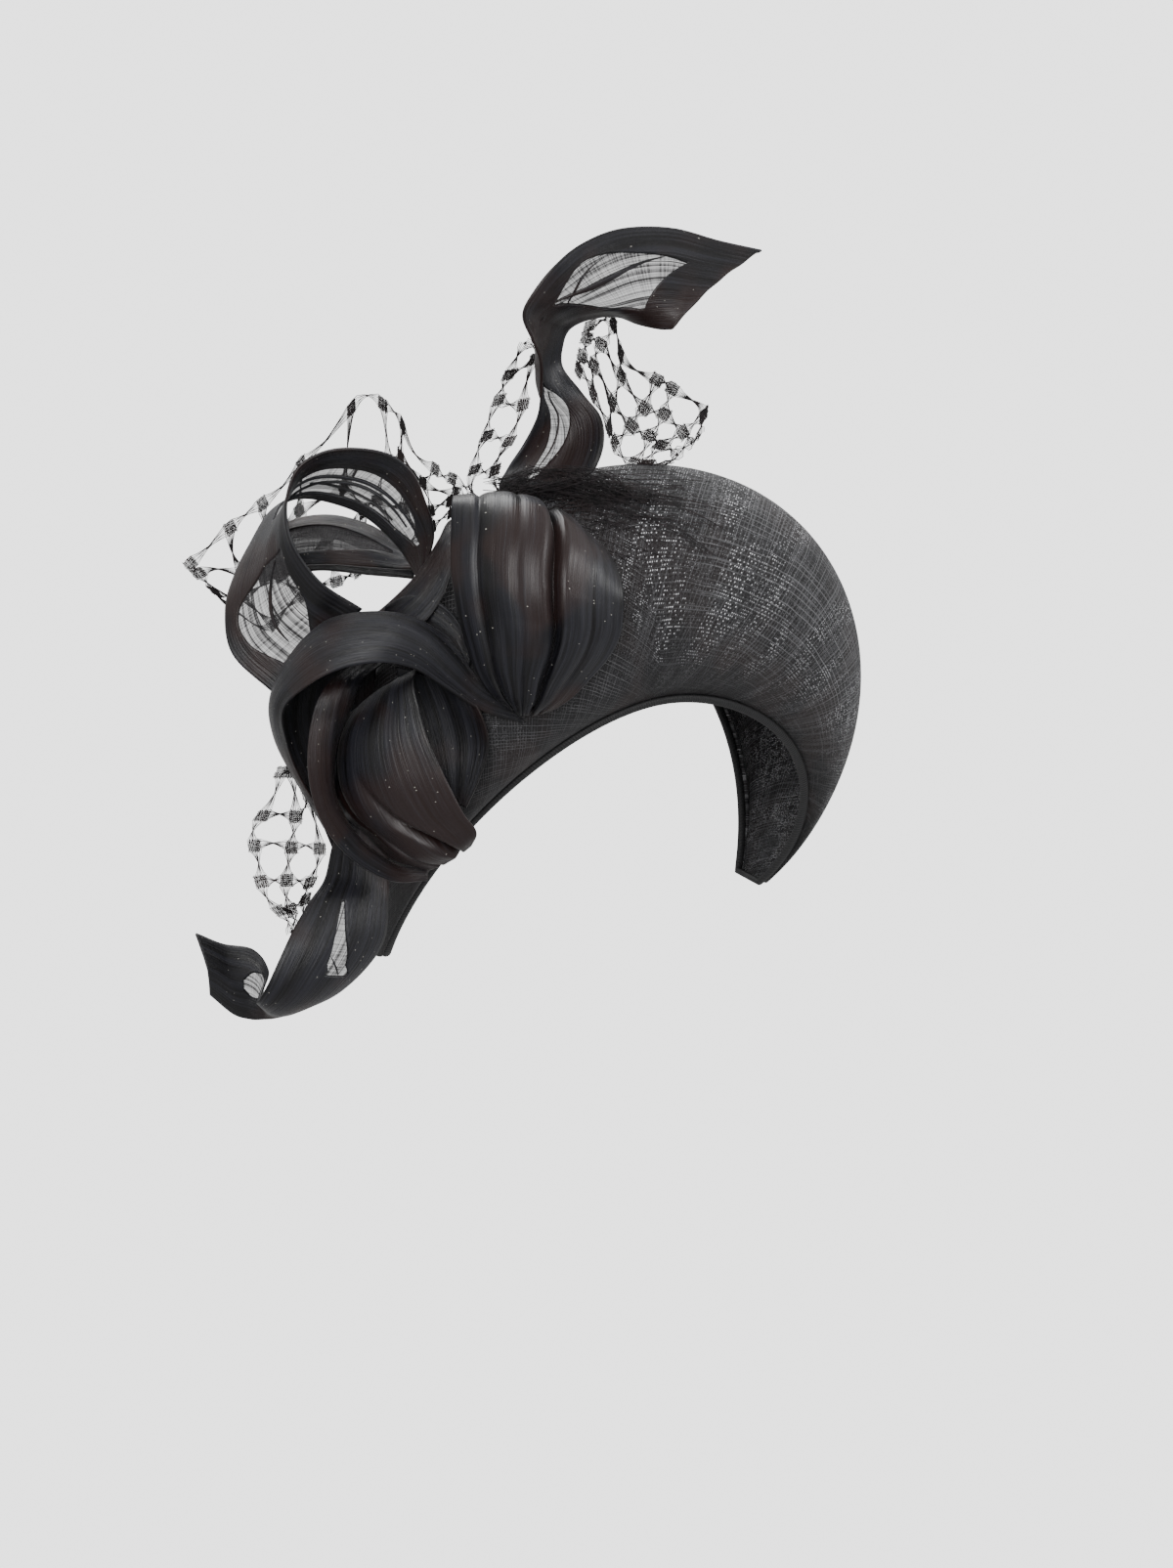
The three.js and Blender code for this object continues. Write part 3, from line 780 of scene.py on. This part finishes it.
def netThreads(spec, draw):
    at = clothThrough(spec["rows"])
    along, across = spec["cells"]
    nodes = {}
    for i in range(along + 1):
        for j in range(across + 1):
            u = (i + draw.uniform(-1, 1) * net["jitter"] * (0 < i < along)) / along
            v = (j + draw.uniform(-1, 1) * net["jitter"] * (0 < j < across)) / across
            nodes[i, j] = (u, v)
    small = 0.01

    def frameAt(u, v):  # the directions along and across the net at a place
        alongNet = at(v, min(u + small, 1)) - at(v, max(u - small, 0))
        acrossNet = at(min(v + small, 1), u) - at(max(v - small, 0), u)
        return alongNet.normalized(), acrossNet.normalized()

    threads = []

    def addLine(line, side):  # side is 0 for a line of squares along the net and 1 for one across it
        middles = [at(nodes[key][1], nodes[key][0]) for key in line]
        bows = [draw.uniform(-1, 1) * net["bow"] for _ in line]
        slack = [draw.uniform(-1, 1) * net["stray"] for _ in range(net["threads"])]
        tracks = [[] for _ in range(net["threads"])]
        for k in range(len(line) - 1):
            (u0, v0), (u1, v1) = nodes[line[k]], nodes[line[k + 1]]
            run = (middles[k + 1] - middles[k]).length
            spread = min(net["square"], run * net["squareShare"])
            last = k == len(line) - 2
            for step in range(net["steps"] + last):
                t = step / net["steps"]
                u, v = lerp(u0, u1, t), lerp(v0, v1, t)
                directions = frameAt(u, v)
                offset = directions[1 - side]
                fromSquare = min(t, 1 - t) * run
                gathered = min(1, max(0, (fromSquare - spread) / max(run / 2 - spread, 0.1)))
                half = lerp(spread, net["pinch"], gathered ** net["gather"])
                bow = offset * math.sin(math.pi * t) * bows[k] * run
                centre = at(v, u) + bow
                out = directions[0].cross(directions[1])
                for n, track in enumerate(tracks):
                    place = 2 * n / (net["threads"] - 1) - 1
                    loose = slack[n] * math.sin(math.pi * t)
                    track.append(centre + offset * (half * place + loose * net["aside"]) + out * loose)
        threads.extend(tracks)

    for j in range(across + 1):
        addLine([(i, j) for i in range(along + 1)], 0)
    for i in range(along + 1):
        addLine([(i, j) for j in range(across + 1)], 1)
    share, more = net["fillerRoom"]
    for u, v in nodes.values():
        directions = frameAt(u, v)
        middle = at(v, u)
        halfWay = (at(v, min(u + 0.5 / along, 1)) - middle).length
        room = min(net["square"], halfWay * share + more)
        for side in (0, 1):
            run, offset = directions[side], directions[1 - side]
            for n in range(net["fillers"]):
                place = (2 * (n + 0.5) / net["fillers"] - 1) * room
                reach = room * draw.uniform(*net["fillerReach"])
                threads.append([middle + offset * place + run * reach * end for end in (-1, 0, 1)])
    return threads


def threadMesh(name, threads, thickness, draw):
    curve = bpy.data.curves.new(name, "CURVE")
    curve.dimensions = "3D"
    curve.bevel_depth = thickness / 2 * mm
    curve.bevel_resolution = 0
    curve.use_fill_caps = True
    for points in threads:
        spline = curve.splines.new("POLY")
        spline.points.add(len(points) - 1)
        size = draw.uniform(*net["sizes"])
        for spot, point in zip(spline.points, points):
            spot.co = (*(point * mm), 1)
            spot.radius = size
    piece = bpy.data.objects.new(name, curve)
    bpy.context.collection.objects.link(piece)
    choose(piece)
    bpy.ops.object.convert(target="MESH")
    return bpy.context.object


def makeNet(name, node, spec):
    draw = random.Random(name)
    piece = threadMesh(name, netThreads(spec, draw), net["thread"], draw)
    settle(piece, finishes["net"], "abaca_net", node)
    return piece


netLeft = {
    "cells": (9, 3),
    "rows": [  # left hem, right hem, belly
        ((-101, 10, -52), (-89, -4, -56), 0),
        ((-91, 20, -52), (-75, -14, -64), -2),
        ((-78, 29, -52), (-66, -4, -66), -3),
        ((-65, 42, -52), (-54, 2, -68), -3),
        ((-52, 55, -50), (-43, 6, -68), -3),
        ((-37, 70, -46), (-34, 13, -66), -3),
        ((-25, 64, -42), (-23, 18, -60), -3),
        ((-18, 52, -36), (-16, 21, -52), -2),
        ((-9, 43, -28), (-10, 24, -40), -1),
        ((0, 38, -20), (-3, 28, -26), 0),
        ((4, 35, -18), (2, 27, -20), 0),
    ],
}

netLoop = {
    "cells": (5, 1),
    "rows": [  # left hem, right hem, belly
        ((10, 29, -13), (17, 31, -16), 0),
        ((4, 37, -16), (12, 41, -20), 0),
        ((7, 49, -22), (16, 51, -24), 0),
        ((10, 58, -26), (21, 62, -27), 0),
        ((14, 70, -26), (23, 72, -27), 0),
        ((19, 81, -22), (26, 82, -24), 0),
        ((23, 88, -18), (29, 87, -22), 0),
    ],
}

netTop = {
    "cells": (6, 3),
    "rows": [  # left hem, right hem, belly
        ((46, 96, -36), (42, 80, -36), 0),
        ((54, 98, -38), (47, 72, -38), 1),
        ((58, 85, -38), (52, 62, -38), 2),
        ((68, 78, -36), (56, 52, -38), 2),
        ((78, 72, -34), (61, 47, -38), 2),
        ((87, 66, -32), (68, 46, -38), 1),
        ((86, 56, -32), (74, 46, -38), 0),
    ],
}

netLow = {
    "cells": (5, 2),
    "rows": [  # left hem, right hem, belly
        ((-64, -66, -14), (-58, -66, -14), 0),
        ((-68, -76, -13), (-54, -76, -15), 0),
        ((-73, -87, -12), (-51, -88, -17), 1),
        ((-73, -98, -10), (-51, -98, -16), 2),
        ((-69, -109, -8), (-54, -106, -12), 1),
        ((-63, -117, -8), (-56, -114, -13), 0),
        ((-60, -123, -8), (-57, -121, -10), 0),
    ],
}

drape = {
    "threads": 70,  # of each of its two kinds
    "steps": 16,
    "thread": 0.24,
    "angleFrom": (-17, -7),  # degrees over the head
    "angleTo": (-4, 13),
    "turnFrom": (0.40, 0.56),  # shares round the band's section
    "turnTo": (0.30, 0.50),
    "bow": 0.05,
    "inset": (-0.2, -1.8),  # mm; less than nothing, so that they stand off the band
    "arch": (1.6, 0.1),  # a fibre arches over the first part of its length and then lies down
    "over": (  # the other kind, over the curl's foot, runs through these boxes of the trim's 45ths
        ((8, 20), (30, 40), (-9, -4)),
        ((24, 36), (33, 44), (-9, -4)),
        ((44, 54), (28, 42), (-11, -7)),
        ((58, 80), (20, 38), (-16, -11)),
    ),
}


# loose fibres that lie over the band's crest from the foot of the tall curl
def makeDrape():
    draw = random.Random("drape")
    threads = []
    for _ in range(drape["threads"]):
        angles = [draw.uniform(*drape["angleFrom"]), draw.uniform(*drape["angleTo"])]
        turns = [draw.uniform(*drape["turnFrom"]), draw.uniform(*drape["turnTo"])]
        bow = draw.uniform(-drape["bow"], drape["bow"])
        inset = draw.uniform(*drape["inset"])
        line = []
        for step in range(drape["steps"]):
            t = step / (drape["steps"] - 1)
            angle = math.radians(lerp(*angles, t))
            turn = lerp(*turns, t) + bow * math.sin(math.pi * t)
            arch = math.sin(math.pi * min(t * drape["arch"][0] + drape["arch"][1], 1))
            line.append(bandPoint(angle, turn, inset * arch))
        threads.append(line)
    for _ in range(drape["threads"]):
        stops = [
            toBand @ (Vector([draw.uniform(*side) for side in stop]) * tableUnit)
            for stop in drape["over"]
        ]
        threads.append([splineAt(stops, n / (drape["steps"] - 1)) for n in range(drape["steps"])])
    piece = threadMesh("netDrape", threads, drape["thread"], draw)
    settle(piece, finishes["net"], "abaca_net")
    return piece


nets = {
    "drape": makeDrape(),
    "left": makeNet("netLeft", "net_left", netLeft),
    "loop": makeNet("netLoop", "net_loop", netLoop),
    "top": makeNet("netTop", "net_top", netTop),
    "low": makeNet("netLow", "net_low", netLow),
}
print("nets made")

# A ribbon's ripple is how far its waves rise, in mm, and its grid the faces across and along. A crease
# runs from one share of the width to another, with its own width as a share and its depth in mm. A fold
# has the stretch along the ribbon, the share across it at both ends, and how far it bows aside.
roundLoop = {
    "ripple": 0.7,
    "grid": (96, 130),
    "creases": [
        {"from": 0.56, "to": 0.62, "width": 0.08, "depth": 6.0},
        {"from": 0.14, "to": 0.17, "width": 0.06, "depth": 1.8},
        {"from": 0.36, "to": 0.40, "width": 0.06, "depth": 0.8},
        {"from": 0.80, "to": 0.82, "width": 0.08, "depth": 0.9},
    ],
    "rows": [  # left hem, right hem, belly
        ((4, 20, 0), (40, 8, 10), 3),
        ((-1, 31, 0), (50, 14, 6), 8),
        ((-2, 30, 9), (56, 6, 10), 13),
        ((-2, 20, 15), (58, -2, 14), 16),
        ((-2, 6, 18), (58, -9, 14), 17),
        ((0, -8, 18), (57, -17, 13), 16),
        ((3, -20, 17), (53, -25, 13), 14),
        ((7, -31, 16), (46, -33, 14), 11),
        ((12, -38, 16), (39, -40, 15), 7),
        ((18, -42, 15), (31, -44, 15), 3),
        ((20, -38, 14), (30, -39, 14), 1),
    ],
}

makeRibbon("roundLoop", "round_loop", roundLoop)

roseHood = {
    "ripple": 0.5,
    "grid": (40, 150),
    "rows": [  # left hem, right hem, belly
        ((24, -43, 11), (23, -48, 10), 0),
        ((8, -33, 14), (9, -44, 13), 1),
        ((-1, -21, 16), (-4, -36, 17), 3),
        ((-13, -12, 16), (-15, -29, 23), 5),
        ((-28, -9, 13), (-26, -27, 27), 6),
        ((-46, -12, 8), (-39, -29, 27), 6),
        ((-58, -23, 2), (-50, -34, 25), 5),
        ((-64, -37, -3), (-60, -43, 20), 4),
        ((-65, -49, -8), (-60, -54, 14), 3),
        ((-59, -64, -11), (-56, -67, 7), 2),
        ((-49, -85, -14), (-45, -86, -2), 1),
    ],
}

makeRibbon("roseHood", "rose_hood", roseHood)

roseCup = {
    "ripple": 0.4,
    "grid": (32, 120),
    "rows": [  # left hem, right hem, belly
        ((-38, -26, 4), (-26, -26, -8), 0),
        ((-47, -37, 17), (-34, -34, 8), 2),
        ((-51, -49, 19), (-39, -46, 7), 3),
        ((-52, -63, 19), (-44, -58, 5), 4),
        ((-50, -76, 17), (-45, -71, 2), 4),
        ((-45, -87, 14), (-41, -82, 0), 4),
        ((-36, -97, 10), (-35, -91, -2), 4),
        ((-23, -104, 6), (-23, -99, -4), 3),
        ((-11, -104, 1), (-12, -101, -7), 2),
    ],
}

makeRibbon("roseCup", "rose_cup", roseCup)

rosePetal = {
    "ripple": 0.6,
    "grid": (64, 110),
    "creases": [
        {"from": 0.20, "to": 0.74, "width": 0.10, "depth": 7.0, "start": 0.45},
        {"from": 0.10, "to": 0.30, "width": 0.07, "depth": 1.4},
    ],
    "rows": [  # left hem, right hem, belly
        ((-21, -36, -1), (-10, -26, 6), 0),
        ((-33, -41, -3), (-15, -32, 21), 2),
        ((-42, -48, -4), (-13, -43, 25), 5),
        ((-47, -58, -6), (-10, -53, 27), 8),
        ((-48, -69, -8), (-5, -64, 27), 10),
        ((-44, -79, -8), (-1, -72, 26), 10),
        ((-35, -86, -6), (3, -80, 24), 9),
        ((-24, -96, 1), (7, -86, 21), 6),
        ((-10, -100, 4), (5, -91, 15), 2),
    ],
}

makeRibbon("rosePetal", "rose_petal", rosePetal)

roseBack = {
    "ripple": 0.3,
    "grid": (40, 60),
    "rows": [  # left hem, right hem, belly
        ((-22, -28, 8), (4, -37, 14), -1),
        ((-19, -40, 6), (9, -46, 14), -2),
        ((-15, -53, 6), (11, -56, 12), -2),
        ((-10, -66, 6), (8, -67, 10), -1),
        ((-4, -76, 5), (3, -78, 8), 0),
    ],
}

makeRibbon("roseBack", "rose_back", roseBack)

roseWall = {
    "ripple": 0.6,
    "grid": (40, 80),
    "rows": [  # left hem, right hem, belly
        ((-63, -31, -10), (-30, -19, -15), 0),
        ((-66, -47, -12), (-31, -42, -19), -1),
        ((-61, -63, -15), (-32, -60, -21), -2),
        ((-52, -80, -18), (-31, -76, -24), -2),
        ((-46, -94, -20), (-31, -92, -29), -1),
        ((-43, -102, -21), (-32, -101, -32), 0),
    ],
}

makeRibbon("roseWall", "rose_wall", roseWall)

rootWrap = {
    "ripple": 0.6,
    "grid": (40, 70),
    "rows": [  # left hem, right hem, belly
        ((6, 26, -8), (8, 5, 5), 0),
        ((-3, 24, -4), (-1, 6, 6), 1),
        ((-7, 17, -3), (-5, -3, 7), 2),
        ((-13, 7, -3), (-10, -11, 8), 3),
        ((-19, 0, -4), (-17, -17, 7), 3),
        ((-28, -8, -6), (-25, -22, 4), 2),
        ((-37, -14, -10), (-34, -27, -1), 1),
    ],
}

rootLeaf = {
    "ripple": 0.5,
    "grid": (30, 60),
    "rows": [  # left hem, right hem, belly
        ((-26, -7, 3), (-30, -20, -6), 1),
        ((-17, -3, 5), (-21, -22, 2), 1),
        ((-8, -5, 7), (-11, -28, 8), 1),
        ((0, -12, 10), (-3, -33, 11), 1),
        ((5, -24, 12), (2, -38, 12), 0),
    ],
}

makeRibbon("rootWrap", "root_wrap", rootWrap, [makeLeaf("rootLeaf", rootLeaf)])

upperLoop = {
    "ripple": 0.5,
    "grid": (40, 170),
    "windows": [
        [
            {"along": 0.08, "low": 0.42, "high": 0.55},
            {"along": 0.16, "low": 0.28, "high": 0.76},
            {"along": 0.56, "low": 0.27, "high": 0.78},
            {"along": 0.65, "low": 0.40, "high": 0.66},
        ],
        [
            {"along": 0.80, "low": 0.20, "high": 0.52},
            {"along": 0.85, "low": 0.20, "high": 0.84},
            {"along": 0.92, "low": 0.22, "high": 0.84},
            {"along": 0.975, "low": 0.44, "high": 0.76},
        ],
    ],
    "folds": [
        {"along": (0.10, 0.62), "across": (0.40, 0.34), "bow": 0.05, "width": 0.035},
        {"along": (0.14, 0.58), "across": (0.52, 0.60), "bow": -0.06, "width": 0.025},
        {"along": (0.18, 0.50), "across": (0.66, 0.50), "bow": 0.04, "width": 0.018},
        {"along": (0.81, 0.96), "across": (0.34, 0.60), "bow": 0.05, "width": 0.030},
    ],
    "rows": [  # left hem, right hem, belly
        ((-12, 8, -8), (-15, 3, -14), 0),
        ((-9, 19, -3), (-20, 12, -17), 1),
        ((-12, 31, 3), (-27, 20, -20), 2),
        ((-16, 40, 7), (-36, 27, -23), 3),
        ((-24, 46, 10), (-46, 31, -26), 3),
        ((-35, 48, 12), (-56, 33, -27), 3),
        ((-46, 47, 13), (-63, 32, -27), 3),
        ((-55, 42, 14), (-70, 27, -25), 3),
        ((-59, 34, 14), (-76, 16, -21), 3),
        ((-60, 24, 13), (-81, 5, -17), 3),
        ((-57, 13, 12), (-84, -8, -12), 3),
        ((-48, 1, 9), (-81, -24, -8), 3),
        ((-34, -8, 5), (-66, -38, -6), 2),
    ],
}

makeRibbon("upperLoop", "upper_loop", upperLoop)

sideLoop = {
    "ripple": 0.4,
    "grid": (40, 150),
    "windows": [
        [
            {"along": 0.12, "low": 0.45, "high": 0.55},
            {"along": 0.30, "low": 0.26, "high": 0.76},
            {"along": 0.80, "low": 0.26, "high": 0.76},
            {"along": 0.92, "low": 0.45, "high": 0.55},
        ],
    ],
    "rows": [  # left hem, right hem, belly
        ((-14, 14, -19), (-16, 7, -16), 0),
        ((-22, 16, -27), (-23, 7, -20), 1),
        ((-33, 23, -33), (-35, 8, -24), 2),
        ((-47, 27, -36), (-49, 9, -27), 2),
        ((-60, 26, -37), (-62, 8, -29), 2),
        ((-69, 21, -40), (-71, 4, -34), 2),
        ((-73, 20, -48), (-74, 2, -43), 2),
        ((-68, 23, -57), (-69, 5, -54), 2),
        ((-52, 25, -60), (-54, 8, -57), 2),
        ((-34, 20, -52), (-35, 6, -49), 1),
        ((-18, 13, -38), (-18, 4, -36), 0),
    ],
}

makeRibbon("sideLoop", "side_loop", sideLoop, [nets["left"]])

tallCurl = {
    "ripple": 0.5,
    "grid": (40, 200),
    "windows": [
        [
            {"along": 0.08, "low": 0.22, "high": 0.29},
            {"along": 0.133, "low": 0.27, "high": 0.37},
            {"along": 0.20, "low": 0.29, "high": 0.49},
            {"along": 0.267, "low": 0.31, "high": 0.65},
            {"along": 0.32, "low": 0.42, "high": 0.74},
            {"along": 0.36, "low": 0.54, "high": 0.56},
        ],
        [
            {"along": 0.595, "low": 0.32, "high": 0.36},
            {"along": 0.667, "low": 0.19, "high": 0.70},
            {"along": 0.733, "low": 0.15, "high": 0.74},
            {"along": 0.80, "low": 0.25, "high": 0.79, "lean": 0.08},
            {"along": 0.865, "low": 0.33, "high": 0.79, "lean": 0.24},
        ],
        [{"along": 1.0, "low": 0.33, "high": 0.79}],
    ],
    "folds": [
        {"along": (0.60, 0.86), "across": (0.30, 0.30), "bow": 0.10, "width": 0.055},
        {"along": (0.62, 0.76), "across": (0.42, 0.20), "bow": -0.04, "width": 0.020},
        {"along": (0.10, 0.34), "across": (0.30, 0.62), "bow": -0.06, "width": 0.018},
    ],
    "rows": [  # left hem, right hem, belly
        ((17, 27, -14), (41, 34, -16), 1),
        ((14, 36, -10), (44, 40, -14), 2),
        ((17, 43, -14), (48, 43, -16), 5),
        ((23, 52, -15), (51, 52, -18), 8),
        ((28, 62, -12), (50, 62, -22), 9),
        ((29, 72, -6), (43, 71, -25), 8),
        ((29, 80, 2), (36, 80, -27), 5),
        ((26, 87, 8), (36, 88, -25), 2),
        ((23, 95, 12), (39, 94, -22), 0),
        ((27, 103, 14), (47, 97, -17), -2),
        ((34, 112, 13), (56, 97, -12), -4),
        ((43, 120, 9), (63, 94, -7), -5),
        ((57, 126, 4), (69, 92, -3), -5),
        ((75, 127, -2), (73, 91, 0), -4),
        ((92, 123, -6), (75, 91, 2), -3),
        ((107, 120, -8), (76, 92, 3), -2),
    ],
}

makeRibbon("tallCurl", "tall_curl", tallCurl, [nets["loop"], nets["top"], nets["drape"]])

lowCurl = {
    "ripple": 0.5,
    "grid": (40, 180),
    "windows": [
        [
            {"along": 0.25, "low": 0.36, "high": 0.39},
            {"along": 0.333, "low": 0.39, "high": 0.50},
            {"along": 0.417, "low": 0.45, "high": 0.68},
            {"along": 0.445, "low": 0.49, "high": 0.78},
        ],
        [
            {"along": 0.70, "low": 0.12, "high": 0.45},
            {"along": 0.76, "low": 0.18, "high": 0.60},
            {"along": 0.82, "low": 0.30, "high": 0.66},
            {"along": 0.86, "low": 0.46, "high": 0.58},
        ],
    ],
    "folds": [
        {"along": (0.40, 0.44), "across": (0.46, 0.66), "bow": 0.0, "width": 0.015},
    ],
    "rows": [  # left hem, right hem, belly
        ((-38, -76, -14), (-24, -74, -12), 1),
        ((-45, -90, -11), (-26, -88, -15), 2),
        ((-48, -104, -4), (-26, -103, -15), 3),
        ((-53, -112, 3), (-26, -113, -13), 4),
        ((-58, -121, 8), (-27, -125, -11), 5),
        ((-62, -130, 11), (-33, -135, -9), 5),
        ((-67, -141, 11), (-44, -145, -8), 4),
        ((-71, -147, 5), (-57, -151, -9), 3),
        ((-71, -145, -7), (-66, -154, -14), 2),
        ((-69, -137, -16), (-71, -155, -18), 3),
        ((-75, -130, -19), (-76, -155, -19), 4),
        ((-86, -128, -18), (-82, -153, -18), 5),
        ((-95, -124, -14), (-90, -146, -16), 5),
    ],
}

makeRibbon("lowCurl", "low_curl", lowCurl, [nets["low"]])
print("ribbons made")

room = {
    "floor": -380,  # mm
    "size": 14.0,  # m
    "world": 0.9,
    "glow": 2.6,
    "bounce": 0.35,
}
lights = [  # places and sizes in mm, power in watts
    {"name": "softLeft", "place": (-900, -1100, 900), "size": 900, "power": 22},
    {"name": "softRight", "place": (1100, -700, 700), "size": 800, "power": 15},
    {"name": "softBack", "place": (100, 900, 1100), "size": 900, "power": 18},
]


# seen from the camera the floor is a white backdrop, while the light that it throws back is soft
def floorFinish():
    made = Finish("paleFloor")
    grey = room["bounce"]
    seen = made.node("ShaderNodeLightPath").outputs["Is Camera Ray"]
    matt = made.node("ShaderNodeBsdfDiffuse", inputs={"Color": (grey, grey, grey, 1)})
    bright = made.node("ShaderNodeEmission", inputs={"Color": (1, 1, 1, 1), "Strength": room["glow"]})
    shaders = {0: seen, 1: matt.outputs["BSDF"], 2: bright.outputs["Emission"]}
    return made.surface(made.node("ShaderNodeMixShader", inputs=shaders).outputs["Shader"])


def makeRoom():
    bpy.ops.object.select_all(action="DESELECT")
    bpy.ops.mesh.primitive_plane_add(size=room["size"], location=(0, 0, room["floor"] * mm))
    floor = bpy.context.object
    floor.name = "floor"
    floor.data.materials.append(floorFinish())
    world = bpy.data.worlds.new("studio")
    world.use_nodes = True
    background = world.node_tree.nodes["Background"]
    background.inputs["Color"].default_value = (1, 1, 1, 1)
    background.inputs["Strength"].default_value = room["world"]
    bpy.context.scene.world = world


def makeLights():
    for light in lights:
        place = Vector(light["place"])
        turn = place.to_track_quat("Z", "Y").to_euler()
        bpy.ops.object.light_add(type="AREA", location=place * mm, rotation=turn)
        lamp = bpy.context.object
        lamp.name = light["name"]
        lamp.data.size = light["size"] * mm
        lamp.data.energy = light["power"]


makeRoom()
makeLights()
print("room lit")
